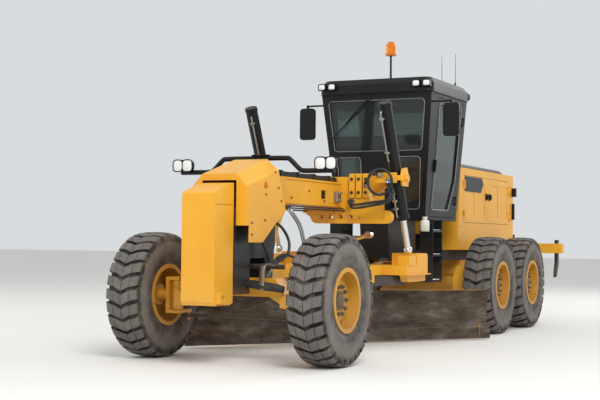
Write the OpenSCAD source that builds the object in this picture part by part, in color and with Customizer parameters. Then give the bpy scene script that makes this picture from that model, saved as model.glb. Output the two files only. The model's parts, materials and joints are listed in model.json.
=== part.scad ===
// Motor grader. X runs forward, Y to the machine's left, Z up from the ground.
// Places along X are measured from the front axle, which stands at front_x.

/* [Wheels] */
// Outer radius of a tyre over its lugs
tyre_r = 675; // [660:1:690]
// Width of a tyre over its sidewalls
tyre_w = 400; // [380:5:410]
// Height of the tread lugs
lug_h = 30; // [20:1:36]
// Chevron lugs round the tread
lug_count = 28; // [22:1:32]
// Radius of the rim's bead seat
rim_r = 305; // [295:1:312]
// Distance from the machine's centre plane to a wheel's middle
wheel_y = 1055; // [1050:1:1080]
// Radius of the wheel spindles
spindle_r = 60; // [50:1:70]

/* [Axles] */
// Place of the front axle
front_x = 4129; // [4100:1:4160]
// Front axle to the middle of the tandem
wheelbase = 6123; // [6100:1:6160]
// Distance between the two wheels of a tandem
tandem_gap = 1523; // [1500:1:1560]
// Half length of the front axle beam to the lean pivots
lean_y = 600; // [590:1:610]
// Height of the lean pivots
lean_z = 640; // [630:1:650]
// Height of the lean bar's pivots
bar_z = 1000; // [990:1:1010]
// Distance of a kingpin from the centre plane
king_y = 765; // [760:1:770]
// Length of a steering arm
arm_len = 230; // [220:1:245]

/* [Front frame] */
// Width of the front frame's box section
frame_w = 400; // [360:10:420]
// Top of the long beam
beam_top = 1970; // [1940:5:1980]
// Underside of the long beam
beam_bottom = 1680; // [1670:5:1700]
// Front face of the front frame
frame_front = 500; // [490:5:505]
// Length of the front weight
weight_len = 375; // [300:5:420]
// Width of the front weight
weight_w = 380; // [340:10:400]
// Height of the drawbar ball
ball_z = 935; // [930:1:940]
// Distance of the drawbar ball behind the front axle
ball_back = 450; // [440:5:460]

/* [Cab] */
// Height of the cab floor
cab_floor = 1560; // [1540:5:1570]
// Height where the cab walls meet the roof
cab_eave = 3230; // [3180:10:3260]
// Thickness of the roof
roof_h = 190; // [150:5:210]
// Thickness of cab walls, posts and doors
cab_wall = 45; // [35:1:55]
// Half width of the cab at its floor
cab_half_low = 630; // [610:5:650]
// Half width of the cab at its eave
cab_half_high = 785; // [770:5:795]
// Thickness of the window glass
glass_t = 8; // [6:1:12]
// Gap round each door
door_gap = 6; // [5:1:10]

/* [Rear frame] */
// Articulation pivot behind the front axle
hitch_back = 4750; // [4740:5:4760]
// Half width of the engine hood
hood_half = 550; // [520:5:580]
// Top of the engine hood
hood_top = 2350; // [2300:10:2400]
// Height of the seam between hood doors and lower panels
hood_seam = 1560; // [1520:10:1580]
// Thickness of hood walls and doors
hood_wall = 30; // [20:1:36]
// Radius of a tandem housing's round ends
tandem_r = 265; // [240:5:280]

/* [Blade group] */
// Length of the moldboard
blade_len = 4200; // [4000:10:4220]
// Height of the moldboard over its cutting edge
blade_h = 630; // [610:5:640]
// Thickness of the moldboard plate
blade_t = 22; // [16:1:28]
// Angle of the blade at rest
blade_angle = 50; // [45:1:55]
// Circle centre behind the front axle
circle_back = 2680; // [2670:5:2690]
// Outer radius of the circle
circle_r = 760; // [740:5:770]
// Height of the circle's underside
circle_z = 740; // [735:1:745]
// Height of the circle ring
circle_h = 115; // [100:5:120]
// Top of the drawbar
drawbar_top = 985; // [975:1:995]

/* [Cylinders] */
// Height of the lift cylinder trunnions
lift_z = 2020; // [2000:5:2040]
// Distance of the lift cylinders from the centre plane
lift_y = 880; // [870:5:890]
// Trunnion place behind the front axle
lift_back = 2210; // [2200:5:2220]
// Outer radius of a lift barrel
barrel_r = 72; // [65:1:76]
// Radius of a lift rod
rod_r = 36; // [30:1:40]
// Lean of the lift cylinders from upright
lift_tilt = 24.6; // [24:0.1:25]

/* [Ripper] */
// Ripper pivots behind the front axle
ripper_back = 8350; // [8345:5:8355]
// Height of the ripper's pivots
ripper_z = 855; // [850:1:860]
// Half length of the ripper beam
ripper_half = 1150; // [1000:10:1180]
// Number of ripper shank sockets
shank_sockets = 5; // [3:2:5]

/* [Hidden] */
$fn = 48;
seat = 0.3;
flange_t = 20;
run = 0.05;
eye_open = 46;
eps = 1;
yellow = "#E0A23C";
black = "#23252B";
dark = "#33363D";
steel = "#9FA3A8";
rubber = "#3A3A3D";
glass = "#5B6E70";
amber = "#E8862B";
mid_back = wheelbase - tandem_gap / 2;
rear_back = wheelbase + tandem_gap / 2;
circle_x = -circle_back;
lift_top = 950;
lift_low = 935;
lift_len = 517;
pad_gap = 12;
shift_back = 2050;
shift_tilt = 16.5;
shift_len = 1060;
link_span = [-120, 780];
link_z = beam_bottom - 120;
rail_low = [470, 150];
hitch_low = 1080;
hitch_high = 1400;
hitch_t = 60;
rail_top = 1160;
tooth_root = 120;
tooth_h = 34;
circle_teeth = 60;
drive_x = -circle_back + circle_r - tooth_root - tooth_h - 80;
hinge_off = 16;
cab_hinges = [280, 1380];
cab_hinge_x = -4953;
arm_l = 650;
arm_rise = 30;
roof_front = -3600;
roof_back = 5140;
beacon_at = [-3900, 112, 3752];
hood_front = 5400;
hood_rear = 8180;
grille_half = 430;
frame_half = 430;
frame_low = 1010;
bumper_face = 8230;
bumper_t = 65;
tow_back = 8390;
slope = (cab_half_high - cab_half_low) / (cab_eave - cab_floor);
cab_tilt = atan(slope);

// wheel places: name, distance behind the front axle, side
module wheel_at(back, side) {
    translate([front_x - back, side * wheel_y, tyre_r]) {
        if (side > 0)
            children();
        else
            mirror([0, 1, 0]) children();
    }
}

// an outline of X and Z points, as thick as w across the machine's middle plane
module side_plate(points, w) {
    rotate([90, 0, 0]) linear_extrude(w, center = true) polygon(points);
}

// an outline of Y and Z points, drawn out along X from x0 to x1
module cross_plate(points, x0, x1) {
    translate([x0, 0, 0]) rotate([90, 0, 90]) linear_extrude(x1 - x0) polygon(points);
}

// an outline of X and Z points, from y0 to y1
module slab(points, y0, y1) {
    translate([0, y1, 0]) rotate([90, 0, 0]) linear_extrude(y1 - y0) polygon(points);
}

// rounds the outward corners of a flat outline
module rounded(r) {
    offset(r, $fn = 20) offset(-r) children();
}

// a flat bar with round ends
module stadium(x0, x1, r) {
    translate([x0, 0]) circle(r = r);
    translate([x1, 0]) circle(r = r);
    translate([x0, -r]) square([x1 - x0, 2 * r]);
}

// a box between two corners
module box(a, b) {
    translate(a) cube([b.x - a.x, b.y - a.y, b.z - a.z]);
}

// a round bar between two points
module bar(a, b, r) {
    d = b - a;
    l = norm(d);
    translate(a) rotate([0, acos(d.z / l), atan2(d.y, d.x)]) cylinder(r = r, h = l);
}

module machine() {
    translate([front_x, 0, 0]) children();
}

module both_sides() {
    children();
    mirror([0, 1, 0]) children();
}

// Wheels

module tyre() {
    crown = tyre_r - lug_h;
    half = tyre_w / 2;
    bead = half - 30;
    pitch = 2 * PI * crown / lug_count;
    long = 0.72 * pitch;
    sweep = 0.42 * pitch;
    reach = (long + sweep) / 2;
    top = sqrt(tyre_r * tyre_r - reach * reach);
    color(rubber) {
        rotate([90, 0, 0]) rotate_extrude() polygon([
            [rim_r + seat, -bead], [rim_r + 35, -bead], [rim_r + 90, -half + 8], [rim_r + 170, -half],
            [crown - 70, -half + 2], [crown - 10, -half + 20], [crown, -half + 55],
            [crown, half - 55], [crown - 10, half - 20], [crown - 70, half - 2],
            [rim_r + 170, half], [rim_r + 90, half - 8], [rim_r + 35, bead], [rim_r + seat, bead]]);
        // each chevron points forward at the top of the wheel
        for (i = [0 : lug_count - 1])
            rotate([0, i * 360 / lug_count, 0]) translate([0, 0, crown - 42])
                linear_extrude(top - crown + 42) polygon([
                    [reach, 0], [reach - sweep, half - 6], [-reach, half - 6],
                    [reach - long, 0], [-reach, -half + 6], [reach - sweep, -half + 6]]);
    }
}

module rim() {
    half = tyre_w / 2 - 30;
    color(yellow) rotate([90, 0, 0]) rotate_extrude() polygon([
            [rim_r, -half], [rim_r + 28, -half], [rim_r + 28, -half - 14], [rim_r - 16, -half - 14],
            [rim_r - 16, -60], [115, -44], [115, -92], [75, -92], [75, -78], [0, -78], [0, -66],
            [spindle_r + run, -66], [spindle_r + run, 60], [115, 60], [115, -20], [rim_r - 16, -36],
            [rim_r - 16, half + 14], [rim_r + 28, half + 14], [rim_r + 28, half], [rim_r, half]]);
}

module tyre_fl() { wheel_at(0, 1) tyre(); }
module tyre_fr() { wheel_at(0, -1) tyre(); }
module tyre_ml() { wheel_at(mid_back, 1) tyre(); }
module tyre_mr() { wheel_at(mid_back, -1) tyre(); }
module tyre_rl() { wheel_at(rear_back, 1) tyre(); }
module tyre_rr() { wheel_at(rear_back, -1) tyre(); }
module rim_fl() { wheel_at(0, 1) rim(); }
module rim_fr() { wheel_at(0, -1) rim(); }
module rim_ml() { wheel_at(mid_back, 1) rim(); }
module rim_mr() { wheel_at(mid_back, -1) rim(); }
module rim_rl() { wheel_at(rear_back, 1) rim(); }
module rim_rr() { wheel_at(rear_back, -1) rim(); }

// Front frame: bolster, gooseneck beam and the drop below the cab

module front_frame() {
    color(yellow) machine() difference() {
        union() {
            side_plate([[frame_front, 720], [frame_front, 1560], [330, 1690], [-120, 1860],
                [-300, beam_top],
                [-3500, beam_top], [-3740, 1880], [-3740, cab_floor], [-4640, cab_floor],
                [-4640, 1050], [-3690, 1050], [-3600, beam_bottom], [-900, beam_bottom], [-640, 1600],
                [-480, 1400], [-380, 1180], [-330, 720]], frame_w);
            // plates of the articulation hitch
            for (z = [hitch_low, hitch_high]) {
                box([-hitch_back, -110, z], [-4630, 110, z + hitch_t]);
                translate([-hitch_back, 0, z]) cylinder(r = 110, h = hitch_t);
            }
            // socket of the drawbar ball
            translate([-ball_back, 0, ball_z + 55]) cylinder(r = 62, h = 120);
            box([-ball_back, -60, ball_z + 55], [-330, 60, ball_z + 175]);
            // flanges along the beam
            for (x = [[-2100, -640], [-3480, -2620]], z = [beam_bottom, beam_top - flange_t])
                box([x[0], -frame_w / 2 - 12, z], [x[1], frame_w / 2 + 12, z + flange_t]);
        }
        // room for the axle beam and the lean bar
        box([-165, -300, 600], [165, 300, bar_z + 85]);
        translate([-400, 0, 800]) rotate([0, 90, 0]) cylinder(r = 50 + seat, h = 1000);
        translate([-hitch_back, 0, 1000]) cylinder(r = 50 + run, h = 600);
        translate([-ball_back, 0, ball_z]) cylinder(r = 40 + run, h = 190);
        // inspection hole in the beam's side
        box([-1690, -260, 1760], [-1560, 260, 1860]);
    }
}

module beam_cover() {
    color(black) machine() {
        slab([[-2100, beam_top], [-2100, beam_top + 50], [-2060, beam_top + 62], [-560, beam_top + 62],
            [-470, beam_top + 30], [-440, beam_top]], -150, 150);
        for (x = [-1900 : 420 : -600])
            slab([[x - 30, beam_top + eps], [x - 20, beam_top + 74], [x + 20, beam_top + 74],
                [x + 30, beam_top + eps]],
                -156, 156);
    }
}

module front_weight() {
    back = frame_front;
    front = frame_front + weight_len;
    color(yellow) machine() {
        side_plate([[back, 640], [back, 1850], [back + 40, 1850], [front - 20, 1750], [front, 1730],
            [front, 660], [front - 20, 620], [back + 60, 620]], weight_w);
        // tow lug
        translate([front - 110, weight_w / 2, 640]) difference() {
            box([-60, -eps, 0], [60, 40, 110]);
            translate([0, -5, 55]) rotate([-90, 0, 0]) cylinder(r = 28, h = 60);
        }
    }
}

module nose_form(inset) {
    half = 320 - inset;
    intersection() {
        side_plate([[470 - inset, 1250 - 2 * inset], [470 - inset, 2300], [-206 + inset, 2300],
            [-206 + inset, 2095], [-390 + inset * 1.1, 1590], [110 + inset, 1250 - 2 * inset]], 2 * half);
        translate([470, 0, 1815]) rotate([0, 15.5, 0]) cross_plate([[-half, -900], [half, -900],
            [half, -inset],
            [200 - inset / 2, 128 - inset], [-200 + inset / 2, 128 - inset], [-half, -inset]], -1200, 300);
    }
}

module nose_cover() {
    color(yellow) machine() difference() {
        nose_form(0);
        nose_form(10);
        side_plate([[600, 1200], [600, 1880], [300, 1880], [-290, beam_top + seat], [-700, beam_top + seat],
            [-700, 1100], [600, 1100]], frame_w + 2 * seat);
        // the front lower corner is cut away
        box([400, -400, 1200], [500, 400, 1420]);
    }
}

module front_axle() {
    color(yellow) machine() {
        difference() {
            union() {
                cross_plate([[-lean_y, lean_z - 60], [-lean_y, lean_z + 60], [-470, 880], [470, 880],
                    [lean_y, lean_z + 60], [lean_y, lean_z - 60], [400, 690], [-400, 690]], -110, 110);
                for (s = [-1, 1])
                    translate([-110, s * lean_y, lean_z]) rotate([0, 90, 0]) cylinder(r = 70, h = 220);
            }
            for (s = [-1, 1])
                translate([-200, s * lean_y, lean_z]) rotate([0, 90, 0]) cylinder(r = 35 + run, h = 400);
        }
        translate([-345, 0, 800]) rotate([0, 90, 0]) cylinder(r = 50, h = 830);
    }
}

module lean_bracket() {
    color(yellow) machine() difference() {
        union() {
            for (s = [-1, 1]) {
                inner = king_y - 85;
                translate([s * 132.5 - 17.5, 0, 0]) rotate([90, 0, 90]) linear_extrude(35) polygon([
                    [lean_y - 55, lean_z - 55], [inner, 560], [inner + 40, 560], [inner + 40, 740],
                    [inner, 740], [lean_y - 55, lean_z + 45]]);
            }
            box([-150, king_y - 88, 560], [150, king_y - 45, 740]);
            translate([0, king_y, 520]) cylinder(r = 60, h = 310);
            translate([-150, lean_y, lean_z]) rotate([0, 90, 0]) cylinder(r = 35, h = 300);
            // ears of the lean bar, straight above the lean pivot
            for (s = [-1, 1]) translate([s * 52.5 - 12.5, 0, 0]) {
                rotate([90, 0, 90]) linear_extrude(25) polygon([
                    [king_y - 88, 600], [king_y - 46, 600], [king_y - 46, 818], [king_y - 76, 824],
                    [lean_y + 36, bar_z + 22], [lean_y - 12, bar_z + 39], [lean_y - 38, bar_z - 18],
                    [king_y - 88, 800]]);
                translate([0, lean_y, bar_z]) rotate([0, 90, 0]) cylinder(r = 42, h = 25);
            }
            translate([-65, lean_y, bar_z]) rotate([0, 90, 0]) cylinder(r = 24, h = 130);
        }
        translate([0, king_y, 500]) cylinder(r = 30 + run, h = 400);
    }
}

module lean_bracket_l() { lean_bracket(); }
module lean_bracket_r() { mirror([0, 1, 0]) lean_bracket(); }

module knuckle() {
    arm_y = king_y;
    color(yellow) machine() {
        difference() {
            union() {
                for (z = [480, 835])
                    translate([0, 0, z]) linear_extrude(35) polygon([[-55, king_y - 50], [55, king_y - 50],
                        [75, king_y + 105], [-75, king_y + 105]]);
                box([-75, king_y + 67, 480], [75, king_y + 105, 870]);
                translate([0, king_y, 475]) cylinder(r = 30, h = 400);
                // steering arm
                translate([0, 0, 480]) linear_extrude(35) polygon([[-10, king_y - 50], [-55, king_y + 60],
                    [-arm_len - 20, arm_y + 34], [-arm_len - 38, arm_y - 16], [-arm_len + 12, arm_y - 32],
                    [-110, king_y - 34]]);
            }
        }
        translate([0, king_y + 104, tyre_r]) rotate([-90, 0, 0]) cylinder(r = spindle_r,
            h = wheel_y - king_y - 48);
        translate([-arm_len, arm_y, 400]) cylinder(r = 20, h = 100);
    }
}

module knuckle_l() { knuckle(); }
module knuckle_r() { mirror([0, 1, 0]) knuckle(); }

module tie_end() {
    arm_y = king_y;
    color(steel) machine() difference() {
        union() {
            translate([-arm_len, arm_y, 415]) cylinder(r = 42, h = 60);
            translate([-arm_len - 68, arm_y, 445]) rotate([0, 90, 0]) cylinder(r = 12, h = 136);
        }
        translate([-arm_len, arm_y, 390]) cylinder(r = 20 + run, h = 100);
    }
}

module tie_rod() {
    arm_y = king_y;
    color(dark) machine() {
        difference() {
            union() {
                for (s = [-1, 1])
                    cross_plate([[arm_y - 90, 420], [arm_y - 90, 448], [arm_y - 40, 448], [arm_y - 16, 463],
                        [arm_y + 24, 463], [arm_y + 28, 445], [arm_y + 24, 425], [arm_y - 16, 420]],
                        -arm_len + s * 59 - 10, -arm_len + s * 59 + 10);
                box([-arm_len - 69, arm_y - 110, 420], [-arm_len + 69, arm_y - 70, 448]);
                translate([-arm_len, -arm_y + 30, 445]) rotate([-90, 0, 0]) cylinder(r = 19,
                    h = 2 * arm_y - 110);
            }
            translate([-arm_len - 90, arm_y, 445]) rotate([0, 90, 0]) cylinder(r = 12 + run, h = 180);
            translate([-arm_len, -arm_y, 400]) cylinder(r = eye_open + 8, h = 100);
        }
        // open eye at the right hand arm
        difference() {
            translate([-arm_len, -arm_y, 422]) cylinder(r = eye_open + 18, h = 36);
            translate([-arm_len, -arm_y, 400]) cylinder(r = eye_open, h = 100);
        }
    }
}

module lean_bar() {
    y = lean_y;
    color(dark) machine() difference() {
        union() {
            bar([0, -y, bar_z], [0, y, bar_z], 26);
            for (s = [-1, 1])
                translate([-35, s * y, bar_z]) rotate([0, 90, 0]) cylinder(r = 42, h = 70);
        }
        translate([-50, y, bar_z]) rotate([0, 90, 0]) cylinder(r = 24 + run, h = 100);
        translate([-50, -y, bar_z]) rotate([0, 90, 0]) cylinder(r = 27, h = 100);
    }
}

module headlamps() {
    x = -320;
    color(black) machine() both_sides() {
        box([x - 20, 120, beam_top], [x + 20, 150, 2112]);
        bar([x, 0, 2112], [x, 250, 2112], 16);
        bar([x, 240, 2112], [x, 560, 2020], 16);
        bar([x, 550, 2022], [x, 850, 2022], 16);
        hull() {
            box([x - 30, 790, 2035], [x - 20, 910, 2125]);
            box([x + 30, 752, 2012], [x + 90, 948, 2148]);
        }
    }
}

// Saddle on the beam, lift arms with their forks, and the link bar below

module lift_saddle() {
    x0 = -lift_back - 90;
    front = -lift_back + 100;
    color(yellow) machine() {
        difference() {
            union() {
                box([-lift_back - 400, -300, beam_bottom - 70], [front, 300, beam_top + 70]);
                both_sides() cross_plate([[250, beam_bottom - 40], [420, beam_bottom + 60],
                    [lift_y - 180, 1940], [lift_y - 180, 2100], [420, beam_top + 60], [250, beam_top + 60]],
                    x0 - 120, x0 - 20);
                both_sides() for (s = [-1, 1])
                    translate([-lift_back + s * 165, 0, 0])
                        box([-20, lift_y - 190, lift_z - 60], [20, lift_y + 60, lift_z + 60]);
                both_sides() translate([-lift_back, 0, 0])
                    box([-185, lift_y - 190, lift_z - 60], [185, lift_y - 145, lift_z + 60]);
                // brackets from the saddle down to the link bar
                cross_plate([[260, beam_bottom - 60], [300, beam_bottom + 120], [420, beam_bottom + 150],
                    [link_span[1] - 20, link_z + 60], [link_span[1] - 60, link_z - 60],
                    [link_span[1] - 200, link_z - 40]], front - 80, front);
                cross_plate([[-290, beam_bottom + 60], [-290, beam_bottom - 60],
                    [link_span[0] - 30, link_z - 40],
                    [link_span[0] + 60, link_z - 40],
                        [link_span[0] + 60, beam_bottom - 60]], front - 80, front);
                // valve block in front of the left arm
                box([front - 90, 299, 1724], [front + 20, 590, 1790]);
                for (y = [330 : 90 : 520])
                    box([front - 80, y, 1789], [front + 50, y + 70, 2075]);
            }
            box([-lift_back - 500, -frame_w / 2 - seat, beam_bottom - seat],
                [-lift_back + 200, frame_w / 2 + seat, beam_top + seat]);
            both_sides() translate([-lift_back - 200, lift_y, lift_z]) rotate([0, 90, 0])
                cylinder(r = 20 + run, h = 400);
        }
        difference() {
            translate([front - 80, 0, link_z]) rotate([90, 0, 90]) linear_extrude(80)
                stadium(link_span[0], link_span[1], 78);
            for (i = [0 : 6])
                translate([front - 110, link_span[0] + 60 + i * 130, link_z]) rotate([0, 90, 0])
                    cylinder(r = 28, h = 160);
        }
    }
}

module lift_yoke() {
    color(yellow) machine() translate([-lift_back, lift_y, lift_z]) difference() {
        union() {
            box([-137, -112, -30], [137, 112, 30]);
            translate([-185, 0, 0]) rotate([0, 90, 0]) cylinder(r = 20, h = 370);
            // outer plate with the trunnion's boss
            slab([[-90, -95], [70, -95], [118, 0], [80, 110], [-50, 130], [-118, 20]], 86, 112);
            translate([0, 111, 0]) rotate([-90, 0, 0]) cylinder(r = 36, h = 40);
        }
        box([-113, -85, -60], [113, 85, 60]);
        translate([0, -150, 0]) rotate([-90, 0, 0]) cylinder(r = 16 + run, h = 300);
    }
}

module lift_yoke_l() { lift_yoke(); }
module lift_yoke_r() { mirror([0, 1, 0]) lift_yoke(); }

module lift_place() {
    machine() translate([-lift_back, lift_y, lift_z]) rotate([0, lift_tilt, 0]) children();
}

module lift_barrel() {
    color(black) lift_place() difference() {
        union() {
            translate([0, 0, -lift_len]) cylinder(r = barrel_r, h = lift_len + lift_top);
            translate([0, -112, 0]) rotate([-90, 0, 0]) cylinder(r = 16, h = 224);
            // gland, trunnion band and top cap
            translate([0, 0, -lift_len]) cylinder(r = barrel_r + 8, h = 60);
            translate([0, 0, -42]) cylinder(r = barrel_r + 6, h = 84);
            translate([0, 0, lift_top - 45]) cylinder(r = barrel_r + 5, h = 30);
        }
        translate([0, 0, -lift_len - 10]) cylinder(r = rod_r + run, h = lift_len + lift_top - 30);
    }
}

module lift_barrel_l() { lift_barrel(); }
module lift_barrel_r() { mirror([0, 1, 0]) lift_barrel(); }

module lift_rod() {
    color("silver") {
        lift_place() translate([0, 0, -lift_low]) cylinder(r = rod_r, h = lift_low + 300);
        lift_place() translate([0, 0, -lift_low]) sphere(r = 52);
    }
}

module lift_rod_l() { lift_rod(); }
module lift_rod_r() { mirror([0, 1, 0]) lift_rod(); }

// Drawbar, circle and blade

module drawbar_ball() {
    color(steel) machine() {
        translate([-ball_back, 0, ball_z]) cylinder(r = 40, h = 175);
        difference() {
            translate([-ball_back, 0, ball_z]) sphere(r = 62);
            translate([-ball_back, 0, ball_z + 50]) cylinder(r = 80, h = 40);
        }
        translate([-ball_back, 100, ball_z]) rotate([90, 0, 0]) cylinder(r = 30, h = 200);
    }
}

module drawbar() {
    top = drawbar_top;
    low = circle_z + circle_h + 12;
    pad_x = -lift_back - lift_low * sin(lift_tilt);
    pad_z = lift_z - lift_low * cos(lift_tilt) - 52 - pad_gap;
    color(yellow) machine() difference() {
        union() {
            // two legs of the drawbar meet at its head
            both_sides() translate([0, 0, low]) linear_extrude(top - low) polygon([
                [-ball_back + 35, 72], [-ball_back + 35, 105], [-ball_back - 160, 120], [-2000, 600],
                [-2560, 640], [-2560, 420], [-2000, 400], [-ball_back - 220, 20], [-ball_back - 160, 0],
                [-ball_back - 90, 0], [-ball_back - 90, 72]]);
            // cross beam with the seats of the lift rods
            box([-2820, -930, low], [-2440, 930, top]);
            both_sides() box([pad_x - 110, lift_y - 90, top - eps], [pad_x + 110, lift_y + 60, pad_z]);
            // raised ends behind the rod seats, with a lip and a rib below
            both_sides() slab([[-3150, low], [-3150, 1090], [-3138, 1118], [-3110, 1130], [-2780, 1130],
                [-2780, low]], 600, 930);
            both_sides() box([-3190, 560, low], [-2440, 960, low + 14]);
            both_sides() slab([[-3150, low + eps], [-3150, 800], [-3120, 785], [-2560, 785],
                [-2500, low + eps]],
                810, 900);
            // carrier of the circle's gearbox, its drum, motor and pinion
            box([-2300, -430, low], [-1990, 430, low + 30]);
            translate([drive_x, 0, low]) cylinder(r = 140, h = 140);
            translate([drive_x - 85, 0, low + 130]) cylinder(r = 52, h = 120);
            translate([drive_x, 0, circle_z + 30]) linear_extrude(low - circle_z) polygon(gear(60, 12,
                14, 1));
            // rear plate
            box([-3180, -620, low], [-2800, 620, low + 40]);
            both_sides() box([-3180, 560, low], [-2440, 620, top]);
            // guide shoes of the circle
            for (a = [45 : 90 : 315])
                translate([circle_x, 0, 0]) rotate([0, 0, a]) box([circle_r + seat, -70, circle_z + 40],
                    [circle_r + 60, 70, low + eps]);
            // ears of the side shift cylinder
            for (s = [-1, 1])
                translate([-shift_back + s * 64, -425, 0]) box([-12, -45, top - 60], [12, 45, top + 110]);
            translate([-shift_back, -425, 0]) box([-80, -60, low], [80, 60, top]);
        }
        translate([-ball_back, 150, ball_z]) rotate([90, 0, 0]) cylinder(r = 30 + run, h = 300);
        translate([-shift_back - 150, -425, top + 60]) rotate([0, 90, 0]) cylinder(r = 18 + run, h = 300);
        translate([circle_x, 0, low - 20]) cylinder(r = 180, h = 400);
    }
}

// points of a gear wheel: r0 is the root, teeth stand t high, outward for side 1 and inward for side -1
function gear(r0, teeth, t, side) = [for (i = [0 : teeth - 1], k = [[-0.3, 0], [-0.16, 1], [0.16, 1],
    [0.3, 0]])
    let (a = (i + k[0]) * 360 / teeth, r = r0 + side * k[1] * t) [r * cos(a), r * sin(a)]];

module circle_ring() {
    machine() color(dark) translate([circle_x, 0, 0]) {
        difference() {
            translate([0, 0, circle_z]) cylinder(r = circle_r, h = circle_h);
            // inner gear teeth below the plain bore
            translate([0, 0, circle_z - 10]) linear_extrude(circle_h - 20)
                polygon(gear(circle_r - tooth_root, circle_teeth, tooth_h, -1));
            translate([0, 0, circle_z + circle_h - 40]) cylinder(r = circle_r - 130, h = 60);
        }
        rotate([0, 0, blade_angle]) for (s = [-1, 1]) {
            // arms from the circle down to the blade's pivot
            translate([0, s * 560, 0]) difference() {
                side_plate([[-480, circle_z + 20], [-30, circle_z + 20], [-90, circle_z - 50],
                    [-140, circle_z - 60],
                    [-200, 420], [-220, 260], [-255, 170], [-345, 170], [-390, 260], [-400, 420]], 50);
                translate([-300, 100, 230]) rotate([90, 0, 0]) cylinder(r = 30 + run, h = 200);
            }
        }
    }
}

module blade_place() {
    machine() translate([circle_x, 0, 0]) rotate([0, 0, blade_angle]) children();
}

module blade_tilt() {
    color(dark) blade_place() {
        difference() {
            for (s = [-1, 1])
                translate([0, s * 625, 0]) side_plate([[-345, 190], [-345, 275], [-290, 575], [-70, 575],
                    [-70, 430], [-190, 400], [-215, 280], [-70, 240], [-70, 115], [-300, 160]], 60);
            for (z = rail_low)
                box([-120 - seat, -700, z - seat], [0, 700, z + 50 + seat]);
        }
        translate([-300, -655, 230]) rotate([-90, 0, 0]) cylinder(r = 30, h = 1310);
    }
}

module moldboard() {
    r = 520;
    half = blade_len / 2;
    low = 22;
    a0 = 95;
    color(yellow) blade_place() {
        // curved plate
        difference() {
            intersection() {
                translate([a0 + 375, half, low + blade_h / 2 + 10]) rotate([90, 0, 0]) cylinder(r = r,
                    h = blade_len);
                box([-300, -half, low + 80], [a0 + 30, half, low + blade_h]);
            }
            translate([a0 + 375, half + 10, low + blade_h / 2 + 10]) rotate([90, 0, 0])
                cylinder(r = r - blade_t, h = blade_len + 20);
        }
        // cutting edge and end bits
        side_plate([[a0 - 60, low], [a0 - 42, low], [a0 - 62, low + 150], [a0 - 80, low + 150]], blade_len);
        for (s = [-1, 1]) translate([0, s * (half - 75), 0])
            side_plate([[a0 - 62, low], [a0 - 30, low], [a0 - 50, low + 185], [a0 - 82, low + 185]], 150);
        // stiffener along the top of the back
        side_plate([[-35, low + blade_h - 40], [-35, low + blade_h], [a0 - 35, low + blade_h],
            [a0 - 59, low + blade_h - 40]], blade_len - 300);
        // slide rails behind the plate
        for (z = rail_low)
            box([-120, -1250, z], [-12, 1250, z + 50]);
    }
}

// Side shift cylinder on the drawbar

module shift_place() {
    machine() translate([-shift_back, -425, drawbar_top + 60]) rotate([shift_tilt - 90, 0, 0]) children();
}

module shift_barrel() {
    color(yellow) difference() {
        shift_place() union() {
            translate([0, 0, 30]) cylinder(r = 46, h = 650);
            translate([-46, 0, 0]) rotate([0, 90, 0]) cylinder(r = 42, h = 92);
            translate([-72, 0, 0]) rotate([0, 90, 0]) cylinder(r = 18, h = 144);
        }
        shift_place() translate([0, 0, 60]) cylinder(r = 24 + run, h = 700);
    }
}

module shift_rod() {
    color("silver") shift_place() {
        translate([0, 0, 320]) cylinder(r = 24, h = shift_len - 340);
        translate([-50, 0, shift_len]) rotate([0, 90, 0]) cylinder(r = 42, h = 80);
    }
}

// Cab

// panes of the front and rear walls as Y and Z points
windshield = [[-620, 2470], [620, 2470], [690, cab_eave - 90], [-690, cab_eave - 90]];
low_pane_r = [[-560, 1900], [-250, 1900], [-250, 2390], [-600, 2390]];
low_pane_l = [[250, 1700], [560, 1700], [600, 2390], [250, 2390]];
rear_pane = [[-560, 2100], [560, 2100], [640, cab_eave - 120], [-640, cab_eave - 120]];

function half_at(z) = cab_half_low + (z - cab_floor) * slope;

module cab_form(inset) {
    side_x = [[-3650 - inset, cab_eave - inset], [-3850 - inset, cab_floor + inset],
        [-5080 + inset, cab_floor + inset], [-5080 + inset, cab_eave - inset]];
    intersection() {
        side_plate(side_x, 2400);
        cross_plate([[-half_at(cab_floor) + inset, cab_floor - 100],
            [half_at(cab_floor) - inset, cab_floor - 100],
            [half_at(cab_floor) - inset, cab_floor], [half_at(cab_eave) - inset, cab_eave],
            [-half_at(cab_eave) + inset, cab_eave],
                [-half_at(cab_floor) + inset, cab_floor]], -6000, -3000);
    }
}

module door_outline(grow) {
    polygon([[-3985 + grow, cab_floor + 50 - grow], [-3985 + grow, 2450],
        [-3930 + grow, cab_eave - 60 + grow],
        [-4950 - grow, cab_eave - 60 + grow], [-4950 - grow, cab_floor + 50 - grow]]);
}

module door_window(grow) {
    rounded(45) polygon([[-4040 + grow, 1700 - grow], [-4040 + grow, 2450],
        [-3990 + grow, cab_eave - 130 + grow],
        [-4880 - grow, cab_eave - 130 + grow], [-4880 - grow, 2100], [-4700, 1700 - grow]]);
}

module across(outline_y0, h) {
    translate([0, outline_y0, 0]) rotate([90, 0, 0]) linear_extrude(h) children();
}

module pane(points, x0, x1) {
    translate([x0, 0, 0]) rotate([90, 0, 90]) linear_extrude(x1 - x0) rounded(45) polygon(points);
}

module cab_panes() {
    pane(windshield, -3760, -3500);
    pane(low_pane_r, -4000, -3500);
    pane(low_pane_l, -4000, -3500);
    pane(rear_pane, -5300, -4900);
}

module roof_outline(inset) {
    rounded(90) polygon([[roof_front - inset, -805 + inset], [roof_front - inset, 805 - inset],
        [-roof_back + inset, 805 - inset], [-roof_back + inset, -805 + inset]]);
}

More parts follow.
